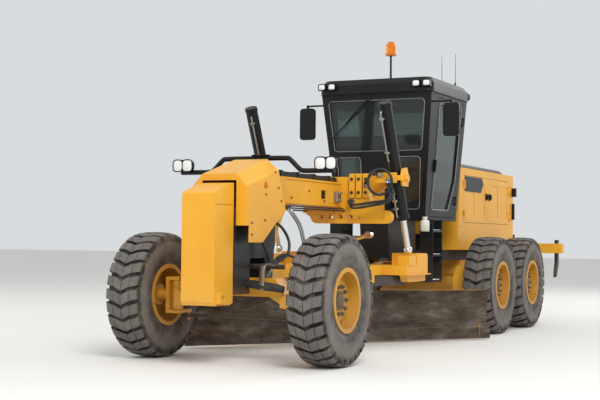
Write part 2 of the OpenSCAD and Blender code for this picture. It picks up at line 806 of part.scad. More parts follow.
module cab_shell() {
    color(black) machine() {
        difference() {
            cab_form(0);
            cab_form(cab_wall);
            // door openings
            across(1200, 2400) door_outline(door_gap);
            cab_panes();
        }
        both_sides() cab_side() for (z = cab_hinges)
            translate([cab_hinge_x, 0, z]) hinge_pin(1);
        // roof with bevelled edges and a raised middle
        hull() {
            translate([0, 0, cab_eave]) linear_extrude(roof_h - 70) roof_outline(0);
            translate([0, 0, cab_eave]) linear_extrude(roof_h) roof_outline(55);
        }
        // work lamps under the roof's front and rear edges
        for (y = [-745, -600, 600, 745]) {
            box([roof_front - eps, y - 52, cab_eave + 55], [roof_front + 45, y + 52, cab_eave + 140]);
            box([-roof_back - 40, y - 52, cab_eave + 40], [-roof_back + eps, y + 52, cab_eave + 115]);
        }
        // pole of the beacon
        translate([beacon_at[0], beacon_at[1], cab_eave + roof_h - 20])
            cylinder(r = 14, h = beacon_at[2] - cab_eave - roof_h + 20);
    }
}

module cab_glass() {
    pane = glass_t / 2;
    inner = cab_wall / 2;
    color(glass) machine() intersection() {
        difference() {
            cab_form(inner - pane);
            cab_form(inner + pane);
        }
        cab_panes();
    }
}

module cab_side() {
    translate([0, cab_half_low, cab_floor]) rotate([-cab_tilt, 0, 0]) children();
}

module cab_door() {
    color(black) machine() cab_side() for (z = cab_hinges)
        translate([cab_hinge_x, 0, z]) hinge_knuckle(1);
    color(black) machine() difference() {
        intersection() {
            difference() {
                cab_form(0);
                cab_form(cab_wall);
            }
            across(1200, 1200) door_outline(0);
        }
        across(1200, 1200) door_window(0);
    }
    // pull handle
    color(black) machine() cab_side() box([-4026, -eps, 640], [-4000, 30, 800]);
}

module door_glass() {
    pane = glass_t / 2;
    inner = cab_wall / 2;
    color(glass) machine() intersection() {
        difference() {
            cab_form(inner - pane);
            cab_form(inner + pane);
        }
        across(1200, 1200) door_window(0);
    }
}

module cab_door_l() { cab_door(); }
module cab_door_r() { mirror([0, 1, 0]) cab_door(); }
module door_glass_l() { door_glass(); }
module door_glass_r() { mirror([0, 1, 0]) door_glass(); }

module cab_seat() {
    z = cab_floor + cab_wall;
    color(dark) machine() {
        box([-4720, -150, z], [-4420, 150, z + 360]);
        box([-4800, -250, z + 360], [-4300, 250, z + 480]);
        box([-4860, -240, z + 420], [-4760, 240, z + 1080]);
        // steering column
        translate([-4080, 0, z]) cylinder(r = 45, h = 620);
        box([-4200, -150, z + 600], [-4060, 150, z + 660]);
    }
}

module mirrors() {
    color(black) machine() both_sides() {
        bar([-3727, half_at(3112) + seat, 3100], [-3727, 1030, 3100], 12);
        box([-3741, 1016, 3050], [-3713, 1044, 3114]);
        pane([[920, 2640], [1140, 2640], [1140, 3070], [920, 3070]], -3750, -3705);
    }
}

module beacon() {
    color(amber) machine() translate(beacon_at) rotate_extrude() polygon([[0, 0], [62, 0], [76, 12],
        [76, 30], [68, 36], [68, 130], [56, 168], [32, 190], [0, 196]]);
}

module steps() {
    color(black) machine() both_sides() {
        for (x = [-3870, -4220])
            box([x, 560, 740], [x + 12, 740, cab_floor]);
        for (z = [745, 1080, 1400])
            box([-4220, 560, z], [-3858, 740, z + 30]);
    }
}

// Hinges outside a panel whose outer face is y = 0; side is the way the door lies from the hinge

module hinge_pin(side) {
    translate([0, hinge_off, -60]) cylinder(r = 7, h = 120);
    for (z = [-60, 40])
        translate([0, 0, z]) linear_extrude(20) polygon([[-side * 45, -eps], [-side * 2, -eps],
            [side * 10, 6], [side * 10, 24], [-side * 10, 24]]);
}

module hinge_knuckle(side) {
    difference() {
        union() {
            translate([0, hinge_off, -38]) cylinder(r = 12, h = 76);
            translate([0, 0, -38]) linear_extrude(76) polygon([[side * 6, -eps], [side * 60, -eps],
                [side * 60, 8], [side * 8, 20], [0, 20], [0, 8]]);
        }
        translate([0, hinge_off, -50]) cylinder(r = 7 + run, h = 100);
    }
}

// Rear frame, hood and running gear

module rear_frame() {
    color(yellow) machine() {
        box([-bumper_face - 10, -frame_half, frame_low], [-hood_front + 250, frame_half, rail_top]);
        side_plate([[-hood_front + 240, frame_low], [-hitch_back - 210, rail_top],
            [-hitch_back - 210, hitch_high - 20], [-hood_front + 240, hitch_high - 20]], 300);
        for (z = [hitch_low + 80, hitch_high - 80]) {
            box([-hitch_back - 220, -95, z], [-hitch_back, 95, z + hitch_t]);
            translate([-hitch_back, 0, z]) cylinder(r = 95, h = hitch_t);
        }
        translate([-hitch_back, 0, hitch_low]) cylinder(r = 50, h = hitch_high + hitch_t - hitch_low);
        // rear bumper with the ripper's pivots and the tow hitch
        difference() {
            union() {
                box([-bumper_face - bumper_t, -hood_half, 800], [-bumper_face, hood_half, 1400]);
                for (s = [-1, 1], t = [-45, 45])
                    translate([-ripper_back, s * 300 + t, ripper_z]) side_plate([[60, -65], [60, 65],
                        [10, 65],
                        [-40, 25], [-40, -25], [0, -65]], 20);
                box([-tow_back - 50, -70, 860], [-bumper_face - bumper_t + 5, 70, 900]);
            }
            translate([-ripper_back, -400, ripper_z]) rotate([-90, 0, 0]) cylinder(r = 25 + run, h = 800);
            translate([-tow_back, 0, 800]) cylinder(r = 25, h = 200);
        }
    }
}

module engine() {
    color(dark) machine() box([-7500, -330, rail_top], [-5900, 330, 2050]);
}

module hood_outline(inset) {
    polygon([[-hood_front - inset, rail_top + inset], [-hood_front - 120 - inset, hood_top - inset],
        [-hood_rear + 20 + inset, hood_top - inset], [-hood_rear + inset, hood_top - 60 - inset],
        [-hood_rear + inset, rail_top + inset]]);
}

// hood doors: front edge and rear edge
hood_doors = [[-5680, -6780], [-6850, -7950]];

hood_hinges = [hood_seam + 120, hood_top - 240];
function hood_hinge_x(i) = i == 0 ? hood_doors[0][0] + door_gap / 2 : hood_doors[1][1] - door_gap / 2;

module hood_opening(i, grow) {
    d = hood_doors[i];
    box([d[1] - grow, 0, hood_seam - grow], [d[0] + grow, 1000, hood_top - 110 + grow]);
}

module hood() {
    color(yellow) machine() difference() {
        across(hood_half, 2 * hood_half) hood_outline(0);
        across(hood_half - hood_wall, 2 * (hood_half - hood_wall)) hood_outline(hood_wall);
        box([-hood_rear + 80, -grille_half, 1100], [-hood_front - 50, grille_half, 1250]);
        both_sides() for (i = [0, 1]) hood_opening(i, door_gap);
        // rear grille opening
        box([-hood_rear - 100, -grille_half, 1420], [-hood_rear + 80, grille_half, 2200]);
    }
    color(yellow) machine() both_sides() for (i = [0, 1], z = hood_hinges)
        translate([hood_hinge_x(i), hood_half, z]) hinge_pin(i == 0 ? -1 : 1);
}

module hood_door(i) {
    color(yellow) machine() for (z = hood_hinges)
        translate([hood_hinge_x(i), hood_half, z]) hinge_knuckle(i == 0 ? -1 : 1);
    color(yellow) machine() difference() {
        intersection() {
            across(hood_half, 2 * hood_half) hood_outline(0);
            hood_opening(i, 0);
        }
        across(hood_half - hood_wall, 2 * (hood_half - hood_wall)) hood_outline(hood_wall);
        hood_fields(i);
    }
}

// two tall embossed fields of a hood door
module hood_fields(i) {
    rim_w = 95;
    d = hood_doors[i];
    w = (d[0] - d[1] - 3 * rim_w) / 2;
    for (x = [d[1] + rim_w, d[1] + 2 * rim_w + w])
        across(hood_half + eps, 8 + eps) rounded(40) translate([x, hood_seam + rim_w])
            square([w, hood_top - hood_seam - 110 - 2 * rim_w]);
}

module hood_door_fl() { hood_door(0); }
module hood_door_rl() { hood_door(1); }
module hood_door_fr() { mirror([0, 1, 0]) hood_door(0); }
module hood_door_rr() { mirror([0, 1, 0]) hood_door(1); }

module hood_trim() {
    color(black) machine() {
        // covers on top, with the air inlet's slots
        difference() {
            hull() {
                box([-hood_rear + 130, -400, hood_top], [-hood_front - 260, 400, hood_top + 40]);
                box([-hood_rear + 180, -360, hood_top], [-hood_front - 320, 360, hood_top + 80]);
            }
            for (x = [-7600 : 90 : -6700])
                box([x, -280, hood_top + 55], [x + 45, 280, hood_top + 100]);
        }
        // exhaust with its guard
        translate([-5900, -240, hood_top + 70]) cylinder(r = 58, h = 300);
        translate([-5900, -240, hood_top + 90]) cylinder(r = 84, h = 190);
        // bars of the rear grille
        for (z = [1440 : 60 : 2160])
            box([-hood_rear + 4, -grille_half, z], [-hood_rear + 22, grille_half, z + 16]);
        both_sides() {
            box([-hood_rear + 24, grille_half - 60, 1421], [-hood_rear + 40, grille_half - 30, 2199]);
            box([-hood_rear + 20, grille_half - 60, 1421], [-hood_rear + 26, grille_half - 30, 2199]);
            // rear lamps on their brackets
            box([-hood_rear + 40, hood_half, 2010], [-hood_rear + 90, hood_half + 70, 2150]);
            box([-hood_rear + 40, hood_half, 1640], [-hood_rear + 75, hood_half + 40, 1900]);
        }
    }
}

module tandems() {
    color(yellow) machine() {
        both_sides() {
            translate([0, 800, tyre_r]) rotate([90, 0, 0]) linear_extrude(210)
                stadium(-rear_back, -mid_back, tandem_r);
            // covers over the chain housings and the drain plates
            slab([[-rear_back + 60, tyre_r + tandem_r - eps], [-rear_back + 130, tyre_r + tandem_r + 25],
                [-mid_back - 130, tyre_r + tandem_r + 25],
                    [-mid_back - 60, tyre_r + tandem_r - eps]], 620, 770);
            for (b = [mid_back, rear_back])
                translate([-b, 799, tyre_r]) rotate([-90, 0, 0]) cylinder(r = 150, h = 26);
            for (b = [mid_back, rear_back])
                translate([-b, 799, tyre_r]) rotate([-90, 0, 0]) cylinder(r = spindle_r, h = wheel_y - 741);
        }
        translate([-wheelbase, -600, tyre_r + 60]) rotate([-90, 0, 0]) cylinder(r = 190, h = 1200);
        box([-wheelbase - 220, -430, 800], [-wheelbase + 220, 430, 1010]);
    }
}

module ripper_arms() {
    color(dark) machine() for (s = [-1, 1]) {
        translate([-ripper_back, s * 300, ripper_z]) rotate([90, 180 + arm_rise, 0]) difference() {
            linear_extrude(60, center = true) stadium(0, arm_l, 50);
            translate([arm_l, 0, -100]) cylinder(r = 25 + run, h = 200);
        }
        translate([-ripper_back, s * 300 - 56, ripper_z]) rotate([-90, 0, 0]) cylinder(r = 25, h = 112);
    }
}

module ripper() {
    step = 2 * (ripper_half - 100) / (shank_sockets - 1);
    x = -ripper_back - arm_l * cos(arm_rise);
    z = ripper_z + arm_l * sin(arm_rise);
    color(yellow) machine() translate([x, 0, z]) {
        for (s = [-1, 1]) {
            for (t = [-45, 45])
                translate([0, s * 300 + t, 0]) side_plate([[-60, -80], [-60, 60], [30, 60], [45, 0],
                    [20, -45]], 20);
            translate([0, s * 300 - 56, 0]) rotate([-90, 0, 0]) cylinder(r = 25, h = 112);
        }
        difference() {
            box([-220, -ripper_half, -80], [-58, ripper_half, 80]);
            for (i = [0 : shank_sockets - 1])
                translate([0, -ripper_half + 100 + i * step, 0]) box([-190, -26, -100], [-90, 26, 100]);
        }
        // shanks in the outer and middle sockets
        for (i = [0, (shank_sockets - 1) / 2, shank_sockets - 1])
            translate([0, -ripper_half + 100 + i * step, 0]) side_plate([[-190, 140], [-90, 140],
                [-90, -230], [-30, -400], [-20, -480], [-80, -440], [-190, -250]], 52);
    }
}

tyre_fl();
tyre_fr();
tyre_ml();
tyre_mr();
tyre_rl();
tyre_rr();
rim_fl();
rim_fr();
rim_ml();
rim_mr();
rim_rl();
rim_rr();
front_frame();
front_weight();
nose_cover();
front_axle();
headlamps();
lift_saddle();
lean_bracket_l();
lean_bracket_r();
knuckle_l();
knuckle_r();
tie_end();
tie_rod();
lean_bar();
cab_shell();
cab_glass();
cab_seat();
cab_door_l();
cab_door_r();
door_glass_l();
door_glass_r();
mirrors();
steps();
drawbar_ball();
drawbar();
circle_ring();
blade_tilt();
moldboard();
lift_yoke_l();
lift_yoke_r();
lift_barrel_l();
lift_barrel_r();
lift_rod_l();
lift_rod_r();
shift_barrel();
shift_rod();
rear_frame();
engine();
hood();
hood_door_fl();
hood_door_rl();
hood_door_fr();
hood_door_rr();
tandems();
ripper_arms();
ripper();
beacon();
beam_cover();
hood_trim();
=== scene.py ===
import json
import math
import bpy
import numpy as np
from mathutils import Matrix, Vector


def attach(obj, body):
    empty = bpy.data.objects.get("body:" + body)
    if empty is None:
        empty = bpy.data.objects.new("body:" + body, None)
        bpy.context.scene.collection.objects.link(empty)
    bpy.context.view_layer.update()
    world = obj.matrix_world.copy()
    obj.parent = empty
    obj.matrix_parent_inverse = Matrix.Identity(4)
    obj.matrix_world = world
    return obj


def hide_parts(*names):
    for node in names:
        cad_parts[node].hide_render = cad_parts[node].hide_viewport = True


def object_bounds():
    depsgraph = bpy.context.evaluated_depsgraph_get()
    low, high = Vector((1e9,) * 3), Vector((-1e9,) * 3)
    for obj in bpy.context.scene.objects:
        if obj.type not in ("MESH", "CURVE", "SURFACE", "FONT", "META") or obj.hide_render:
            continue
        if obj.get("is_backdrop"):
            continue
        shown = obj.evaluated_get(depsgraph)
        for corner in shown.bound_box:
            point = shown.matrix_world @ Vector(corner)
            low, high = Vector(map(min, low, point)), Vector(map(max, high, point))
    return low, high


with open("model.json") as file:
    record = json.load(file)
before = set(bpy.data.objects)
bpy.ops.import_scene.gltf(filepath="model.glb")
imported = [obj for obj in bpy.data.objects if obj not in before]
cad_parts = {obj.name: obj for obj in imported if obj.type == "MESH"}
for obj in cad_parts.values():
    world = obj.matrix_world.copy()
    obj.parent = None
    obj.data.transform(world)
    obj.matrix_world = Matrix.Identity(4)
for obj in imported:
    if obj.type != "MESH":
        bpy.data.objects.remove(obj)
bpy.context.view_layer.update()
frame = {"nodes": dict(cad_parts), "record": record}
nodes = frame["nodes"]
frontX = 4.129      # the front axle's place along X, in metres
wheelY = 1.055      # half the track
axleZ = 0.675       # the height of every axle
bladeAngle = 50     # the moldboard's turn about the upright, in degrees


# Camera, at the photograph's place and angle

cameraSize = {"place": (15.517, 6.268, 1.289), "yaw": 206.097, "pitch": 1.816, "roll": 0.622, "lens": 73.97,
              "far": 200}


def makeCamera(size):
    # The view direction comes from yaw and pitch, and roll turns the frame about it
    yaw, pitch, roll = (math.radians(size[k]) for k in ("yaw", "pitch", "roll"))
    ahead = Vector((math.cos(yaw) * math.cos(pitch), math.sin(yaw) * math.cos(pitch), math.sin(pitch)))
    side = ahead.cross(Vector((0, 0, 1))).normalized()
    up = side.cross(ahead)
    right = side * math.cos(roll) + up * math.sin(roll)
    top = up * math.cos(roll) - side * math.sin(roll)
    camera = bpy.data.objects.new("camera", bpy.data.cameras.new("camera"))
    camera.matrix_world = Matrix((right, top, -ahead)).transposed().to_4x4()
    camera.location = size["place"]
    camera.data.lens = size["lens"]
    camera.data.clip_end = size["far"]
    bpy.context.scene.collection.objects.link(camera)
    bpy.context.scene.camera = camera
    bpy.context.scene.view_settings.view_transform = "Standard"     # keeps the yellow as clear as it is


makeCamera(cameraSize)
print("camera placed")


# Materials. Patterns read Object coordinates in metres, and their grain is given in millimetres

maskOff, maskOn = (0, 0, 0, 1), (1, 1, 1, 1)
mixFirst, mixSecond, mixResult = 6, 7, 2        # the colour sockets of a Mix node


def linear(hexColour):
    # sRGB hex to linear red, green, blue and alpha
    parts = [int(hexColour[i:i + 2], 16) / 255 for i in (1, 3, 5)]
    return tuple(c / 12.92 if c <= 0.04045 else ((c + 0.055) / 1.055) ** 2.4 for c in parts) + (1,)


def perMetre(millimetres):
    # A pattern's scale from the size of its grain
    return 1000 / millimetres


def addNode(tree, kind, links=None, values=None, stops=(), out=0, **settings):
    # Adds one node and gives the output named by out. Links are {input: source}, values are
    # {input: constant}, stops are a ramp's (place, colour) pairs, and settings are the node's properties
    node = tree.nodes.new(kind)
    for key, value in settings.items():
        setattr(node, key, value)
    for key, value in (values or {}).items():
        node.inputs[key].default_value = value
    for key, source in (links or {}).items():
        tree.links.new(source, node.inputs[key])
    for i, (place, colour) in enumerate(stops):
        if i > 1:
            node.color_ramp.elements.new(place)
        node.color_ramp.elements[i].position = place
        node.color_ramp.elements[i].color = colour
    return node.outputs[out]


def newMaterial(name):
    # An empty material, with its node tree and the socket that its shader goes to
    made = bpy.data.materials.new(name)
    made.use_nodes = True
    tree = made.node_tree
    tree.nodes.clear()
    return made, tree, tree.nodes.new("ShaderNodeOutputMaterial").inputs["Surface"]


def paint(name, look, other=None):
    # Sprayed enamel over steel plate: a clear gloss, faint orange peel, and road dust that lies on upward
    # faces and thickens towards the ground. Other is a second colour for what lies further than its half
    # from its middle along its axis
    made, tree, surface = newMaterial(name)
    place = addNode(tree, "ShaderNodeTexCoord", out="Object")
    broad = addNode(tree, "ShaderNodeTexNoise", {"Vector": place},
                    {"Scale": perMetre(434.8), "Detail": 5.0, "Roughness": 0.6})
    fine = addNode(tree, "ShaderNodeTexNoise", {"Vector": place},      # real peel is 2 mm, drawn coarser
                   {"Scale": perMetre(21.74), "Detail": 4.0, "Roughness": 0.7})
    base = addNode(tree, "ShaderNodeValToRGB", {"Fac": broad},
                   stops=[(0.3, linear(look["shade"])), (0.7, linear(look["colour"]))])
    height = addNode(tree, "ShaderNodeSeparateXYZ", {"Vector": place}, out="Z")
    low = addNode(tree, "ShaderNodeMapRange", {"Value": height},
                  {"From Min": look["dustTop"], "From Max": 0.1, "To Min": 0.0, "To Max": 0.8})
    normal = addNode(tree, "ShaderNodeNewGeometry", out="Normal")
    facing = addNode(tree, "ShaderNodeSeparateXYZ", {"Vector": normal}, out="Z")
    upward = addNode(tree, "ShaderNodeMapRange", {"Value": facing},
                     {"From Min": 0.55, "From Max": 1.0, "To Min": 0.0, "To Max": look["topDust"]})
    both = addNode(tree, "ShaderNodeMath", {0: low, 1: upward}, operation="ADD")
    patches = addNode(tree, "ShaderNodeValToRGB", {"Fac": fine}, stops=[(0.35, maskOff), (0.72, maskOn)])
    streaks = addNode(tree, "ShaderNodeMath", {0: patches}, {1: 0.7, 2: 0.3}, operation="MULTIPLY_ADD")
    amount = addNode(tree, "ShaderNodeMath", {0: both, 1: streaks}, operation="MULTIPLY", use_clamp=True)
    if other:
        along = addNode(tree, "ShaderNodeSeparateXYZ", {"Vector": place}, out=other["axis"])
        away = addNode(tree, "ShaderNodeMath", {0: along}, {1: other["middle"]}, operation="SUBTRACT")
        length = addNode(tree, "ShaderNodeMath", {0: away}, operation="ABSOLUTE")
        beyond = addNode(tree, "ShaderNodeMath", {0: length}, {1: other["half"]}, operation="GREATER_THAN")
        base = addNode(tree, "ShaderNodeMix", {"Factor": beyond, mixFirst: base},
                       {mixSecond: linear(other["colour"])}, out=mixResult, data_type="RGBA")
    dusty = addNode(tree, "ShaderNodeMix", {"Factor": amount, mixFirst: base},
                    {mixSecond: linear(look["dust"])}, out=mixResult, data_type="RGBA")
    gloss = addNode(tree, "ShaderNodeMapRange", {"Value": amount},
                    {"To Min": look["roughness"], "To Max": 0.85})
    bump = addNode(tree, "ShaderNodeBump", {"Height": fine}, {"Strength": 0.05, "Distance": 0.002})
    shader = addNode(tree, "ShaderNodeBsdfPrincipled",
                     {"Base Color": dusty, "Roughness": gloss, "Normal": bump},
                     {"Specular IOR Level": look["shine"], "Coat Weight": look["coat"],
                      "Coat Roughness": 0.12})
    tree.links.new(shader, surface)
    return made


def metal(name, look):
    # Machined or worn steel: brushed streaks in roughness, with rust or paint left in patches
    made, tree, surface = newMaterial(name)
    place = addNode(tree, "ShaderNodeTexCoord", out="Object")
    stretch = addNode(tree, "ShaderNodeMapping", {"Vector": place}, {"Scale": look["grain"]})
    grain = addNode(tree, "ShaderNodeTexNoise", {"Vector": stretch},   # real streaks are 1 mm, drawn coarser
                    {"Scale": perMetre(33.33), "Detail": 6.0})
    patches = addNode(tree, "ShaderNodeTexNoise", {"Vector": place},
                      {"Scale": perMetre(look["patch"]), "Detail": 6.0, "Roughness": 0.65})
    mask = addNode(tree, "ShaderNodeValToRGB", {"Fac": patches},
                   stops=[(look["edge"], maskOff), (look["edge"] + 0.12, maskOn)])
    blend = addNode(tree, "ShaderNodeMix", {"Factor": mask},
                    {mixFirst: linear(look["colour"]), mixSecond: linear(look["other"])}, out=mixResult,
                    data_type="RGBA")
    rough = addNode(tree, "ShaderNodeMapRange", {"Value": grain},
                    {"To Min": look["roughness"], "To Max": look["roughness"] + 0.2})
    bump = addNode(tree, "ShaderNodeBump", {"Height": grain}, {"Strength": 0.12, "Distance": 0.001})
    shader = addNode(tree, "ShaderNodeBsdfPrincipled",
                     {"Base Color": blend, "Roughness": rough, "Normal": bump},
                     {"Metallic": look["metallic"]})
    tree.links.new(shader, surface)
    return made


def rubber(name, look):
    # Vulcanised rubber, and cloth or plastic as dull: a soft colour with pale soil dust in broad patches
    made, tree, surface = newMaterial(name)
    place = addNode(tree, "ShaderNodeTexCoord", out="Object")
    broad = addNode(tree, "ShaderNodeTexNoise", {"Vector": place},
                    {"Scale": perMetre(look["patch"]), "Detail": 7.0, "Roughness": 0.7})
    fine = addNode(tree, "ShaderNodeTexNoise", {"Vector": place},      # real grain is 0.5 mm, drawn coarser
                   {"Scale": perMetre(5.556), "Detail": 3.0})
    tint = addNode(tree, "ShaderNodeValToRGB", {"Fac": broad},
                   stops=[(0.34, linear(look["colour"])), (0.52, linear(look["shade"])),
                          (0.78, linear(look["dust"]))])
    bump = addNode(tree, "ShaderNodeBump", {"Height": fine}, {"Strength": 0.25, "Distance": 0.003})
    shader = addNode(tree, "ShaderNodeBsdfPrincipled", {"Base Color": tint, "Normal": bump},
                     {"Roughness": look["roughness"]})
    tree.links.new(shader, surface)
    return made


def treadRubber(name, look, centre):
    # Tyre rubber as it looks in use: lug faces rubbed pale and dusty, painted shade as a near black band in
    # the grooves, a dusty sidewall.
    # The bands follow the distance from the wheel's axis, raised a little towards the shoulder
    made, tree, surface = newMaterial(name)
    place = addNode(tree, "ShaderNodeTexCoord", out="Object")
    apart = addNode(tree, "ShaderNodeVectorMath", {0: place}, {1: centre}, operation="SUBTRACT")
    flat = addNode(tree, "ShaderNodeVectorMath", {0: apart}, {1: (1, 0, 1)}, operation="MULTIPLY")
    radius = addNode(tree, "ShaderNodeVectorMath", {0: flat}, out="Value", operation="LENGTH")
    rise = addNode(tree, "ShaderNodeSeparateXYZ", {"Vector": place}, out="Y")
    for operation, number in (("ABSOLUTE", 0.0), ("SUBTRACT", wheelY), ("ABSOLUTE", 0.0),
                              ("SUBTRACT", look["shoulder"]), ("MAXIMUM", 0.0), ("MULTIPLY", look["raise"])):
        rise = addNode(tree, "ShaderNodeMath", {0: rise}, {1: number}, operation=operation)
    raised = addNode(tree, "ShaderNodeMath", {0: rise, 1: radius}, operation="ADD")
    band = addNode(tree, "ShaderNodeMapRange", {"Value": raised},
                   {"From Min": look["bands"][0], "From Max": look["bands"][1]})
    tint = addNode(tree, "ShaderNodeValToRGB", {"Fac": band}, stops=[
        (0.0, linear(look["inner"])), (0.36, linear(look["inner"])), (0.60, linear(look["side"])),
        # painted shade: the near black groove stops darken the groove floors and the lugs' lower sides
        (0.76, linear(look["side"])), (0.86, linear(look["grooveShade"])), (0.945, linear(look["grooveShade"])),
        (0.972, linear(look["lug"])), (1.0, linear(look["lug"]))])
    broad = addNode(tree, "ShaderNodeTexNoise", {"Vector": place},
                    {"Scale": perMetre(166.7), "Detail": 7.0, "Roughness": 0.7})
    fine = addNode(tree, "ShaderNodeTexNoise", {"Vector": place},      # real grain is 0.5 mm, drawn coarser
                   {"Scale": perMetre(6.25), "Detail": 3.0})
    spots = addNode(tree, "ShaderNodeValToRGB", {"Fac": broad}, stops=[(0.42, maskOff), (0.78, maskOn)])
    soil = addNode(tree, "ShaderNodeMix", {"Factor": spots, mixFirst: tint},
                   {mixSecond: linear(look["dust"])}, out=mixResult, data_type="RGBA")
    bump = addNode(tree, "ShaderNodeBump", {"Height": fine}, {"Strength": 0.25, "Distance": 0.003})
    shader = addNode(tree, "ShaderNodeBsdfPrincipled", {"Base Color": soil, "Normal": bump},
                     {"Roughness": 0.86})
    tree.links.new(shader, surface)
    return made


def bladeSteel(name, look):
    # A moldboard: soil has polished its front to brown grey steel with darker smears, and the back and the
    # top edge keep their yellow enamel. The front is told by the direction a face looks
    made, tree, surface = newMaterial(name)
    place = addNode(tree, "ShaderNodeTexCoord", out="Object")
    stretch = addNode(tree, "ShaderNodeMapping", {"Vector": place}, {"Scale": (1, 1, 3)})
    smears = addNode(tree, "ShaderNodeTexNoise", {"Vector": stretch},
                     {"Scale": perMetre(384.6), "Detail": 7.0, "Roughness": 0.68})
    steel = addNode(tree, "ShaderNodeValToRGB", {"Fac": smears},
                    stops=[(0.35, linear(look["smear"])), (0.55, linear(look["worn"])),
                           (0.75, linear(look["bright"]))])
    normal = addNode(tree, "ShaderNodeNewGeometry", out="Normal")
    ahead = addNode(tree, "ShaderNodeVectorMath", {0: normal}, {1: look["front"]}, out="Value",
                    operation="DOT_PRODUCT")
    front = addNode(tree, "ShaderNodeMath", {0: ahead}, {1: 0.25}, operation="GREATER_THAN")
    both = addNode(tree, "ShaderNodeMix", {"Factor": front, mixSecond: steel},
                   {mixFirst: linear(look["enamel"])}, out=mixResult, data_type="RGBA")
    share = addNode(tree, "ShaderNodeMath", {0: front}, {1: 0.7}, operation="MULTIPLY")
    rough = addNode(tree, "ShaderNodeMapRange", {"Value": smears}, {"To Min": 0.5, "To Max": 0.3})
    shader = addNode(tree, "ShaderNodeBsdfPrincipled",
                     {"Base Color": both, "Metallic": share, "Roughness": rough})
    tree.links.new(shader, surface)
    return made


def glazing(name, look):
    # Tinted safety glass, with a film of dust that shows at the edges of a wiped area
    made, tree, surface = newMaterial(name)
    place = addNode(tree, "ShaderNodeTexCoord", out="Object")
    film = addNode(tree, "ShaderNodeTexNoise", {"Vector": place},
                   {"Scale": perMetre(333.3), "Detail": 6.0, "Roughness": 0.7})
    rough = addNode(tree, "ShaderNodeMapRange", {"Value": film}, {"To Min": 0.0, "To Max": 0.09})
    shader = addNode(tree, "ShaderNodeBsdfPrincipled", {"Roughness": rough},
                     {"Base Color": linear(look["colour"]), "Transmission Weight": look["clear"],
                      "IOR": 1.45})
    tree.links.new(shader, surface)
    return made


# Baked enamel: a clear bright yellow, a deep black and a dull grey, with dust where it settles
yellowLook = {"colour": "#E6A72C", "shade": "#DE9E27", "dust": "#C9A871", "dustTop": 0.9, "topDust": 0.14,
              "roughness": 0.40, "coat": 0.12, "shine": 0.4}
rimLook = {"colour": "#CF9730", "shade": "#BF8828", "dust": "#856B48", "dustTop": 1.2, "topDust": 0.2,
           "roughness": 0.45, "coat": 0.05, "shine": 0.4}
blackLook = {"colour": "#131417", "shade": "#0F1013", "dust": "#6E6257", "dustTop": 1.2, "topDust": 0.25,
             "roughness": 0.40, "coat": 0.06, "shine": 0.28}
darkLook = {"colour": "#2B2D31", "shade": "#232529", "dust": "#8A7A66", "dustTop": 1.3, "topDust": 0.4,
            "roughness": 0.5, "coat": 0.0, "shine": 0.35}
nutLook = {"colour": "#4A4640", "shade": "#3B3733", "dust": "#8A7354", "dustTop": 1.4, "topDust": 0.3,
           "roughness": 0.5, "coat": 0.0, "shine": 0.4}
# Rubber, cloth and moulded plastic: soft and dull, gone grey or tan with soil; patch in millimetres
hoseLook = {"colour": "#1C1D1F", "shade": "#262729", "dust": "#5C544B", "patch": 200, "roughness": 0.62}
bottleLook = {"colour": "#D8D9D4", "shade": "#CFCFC8", "dust": "#B7A992", "patch": 166.7, "roughness": 0.45}
seatLook = {"colour": "#2A2C30", "shade": "#1E2023", "dust": "#4A453F", "patch": 111.1, "roughness": 0.92}
sealLook = {"colour": "#8B8D8C", "shade": "#77797A", "dust": "#A39B8F", "patch": 166.7, "roughness": 0.7}
# Tyres: bands between two radii in metres, which rise outside the shoulder. The groove band is painted
# shade, near black at the groove floors and the lugs' lower sides
tyreLook = {"inner": "#3D3A38", "side": "#66605B", "grooveShade": "#1D1C1C", "lug": "#615C59", "dust": "#7D746B",
            "bands": (0.30, 0.68), "shoulder": 0.13, "raise": 0.35}
# Bare metals: brushed grey with brown stains, hard bright chrome, silvered glass and soil polished steel
steelLook = {"colour": "#A8A9AA", "other": "#6B5A4C", "grain": (1, 1, 12), "patch": 111.1, "edge": 0.6,
             "roughness": 0.28, "metallic": 1.0}
chromeLook = {"colour": "#E4E5E6", "other": "#BDBDBE", "grain": (1, 1, 6), "patch": 50, "edge": 0.75,
              "roughness": 0.06, "metallic": 1.0}
mirrorLook = {"colour": "#D7DCDD", "other": "#C9CFD0", "grain": (1, 1, 1), "patch": 333.3, "edge": 0.8,
              "roughness": 0.02, "metallic": 1.0}
bladeLook = {"smear": "#3E3228", "worn": "#5E5449", "bright": "#8B857D", "enamel": "#E2A535",
             "front": (math.cos(math.radians(bladeAngle)), math.sin(math.radians(bladeAngle)), 0)}
# Glass and clear plastic: grey green and clear, white and ribbed, or deep amber
windowLook = {"colour": "#7F8D8C", "clear": 0.93}
lampLook = {"colour": "#F1F3F1", "clear": 0.12}
amberLook = {"colour": "#F08A1C", "clear": 0.45}
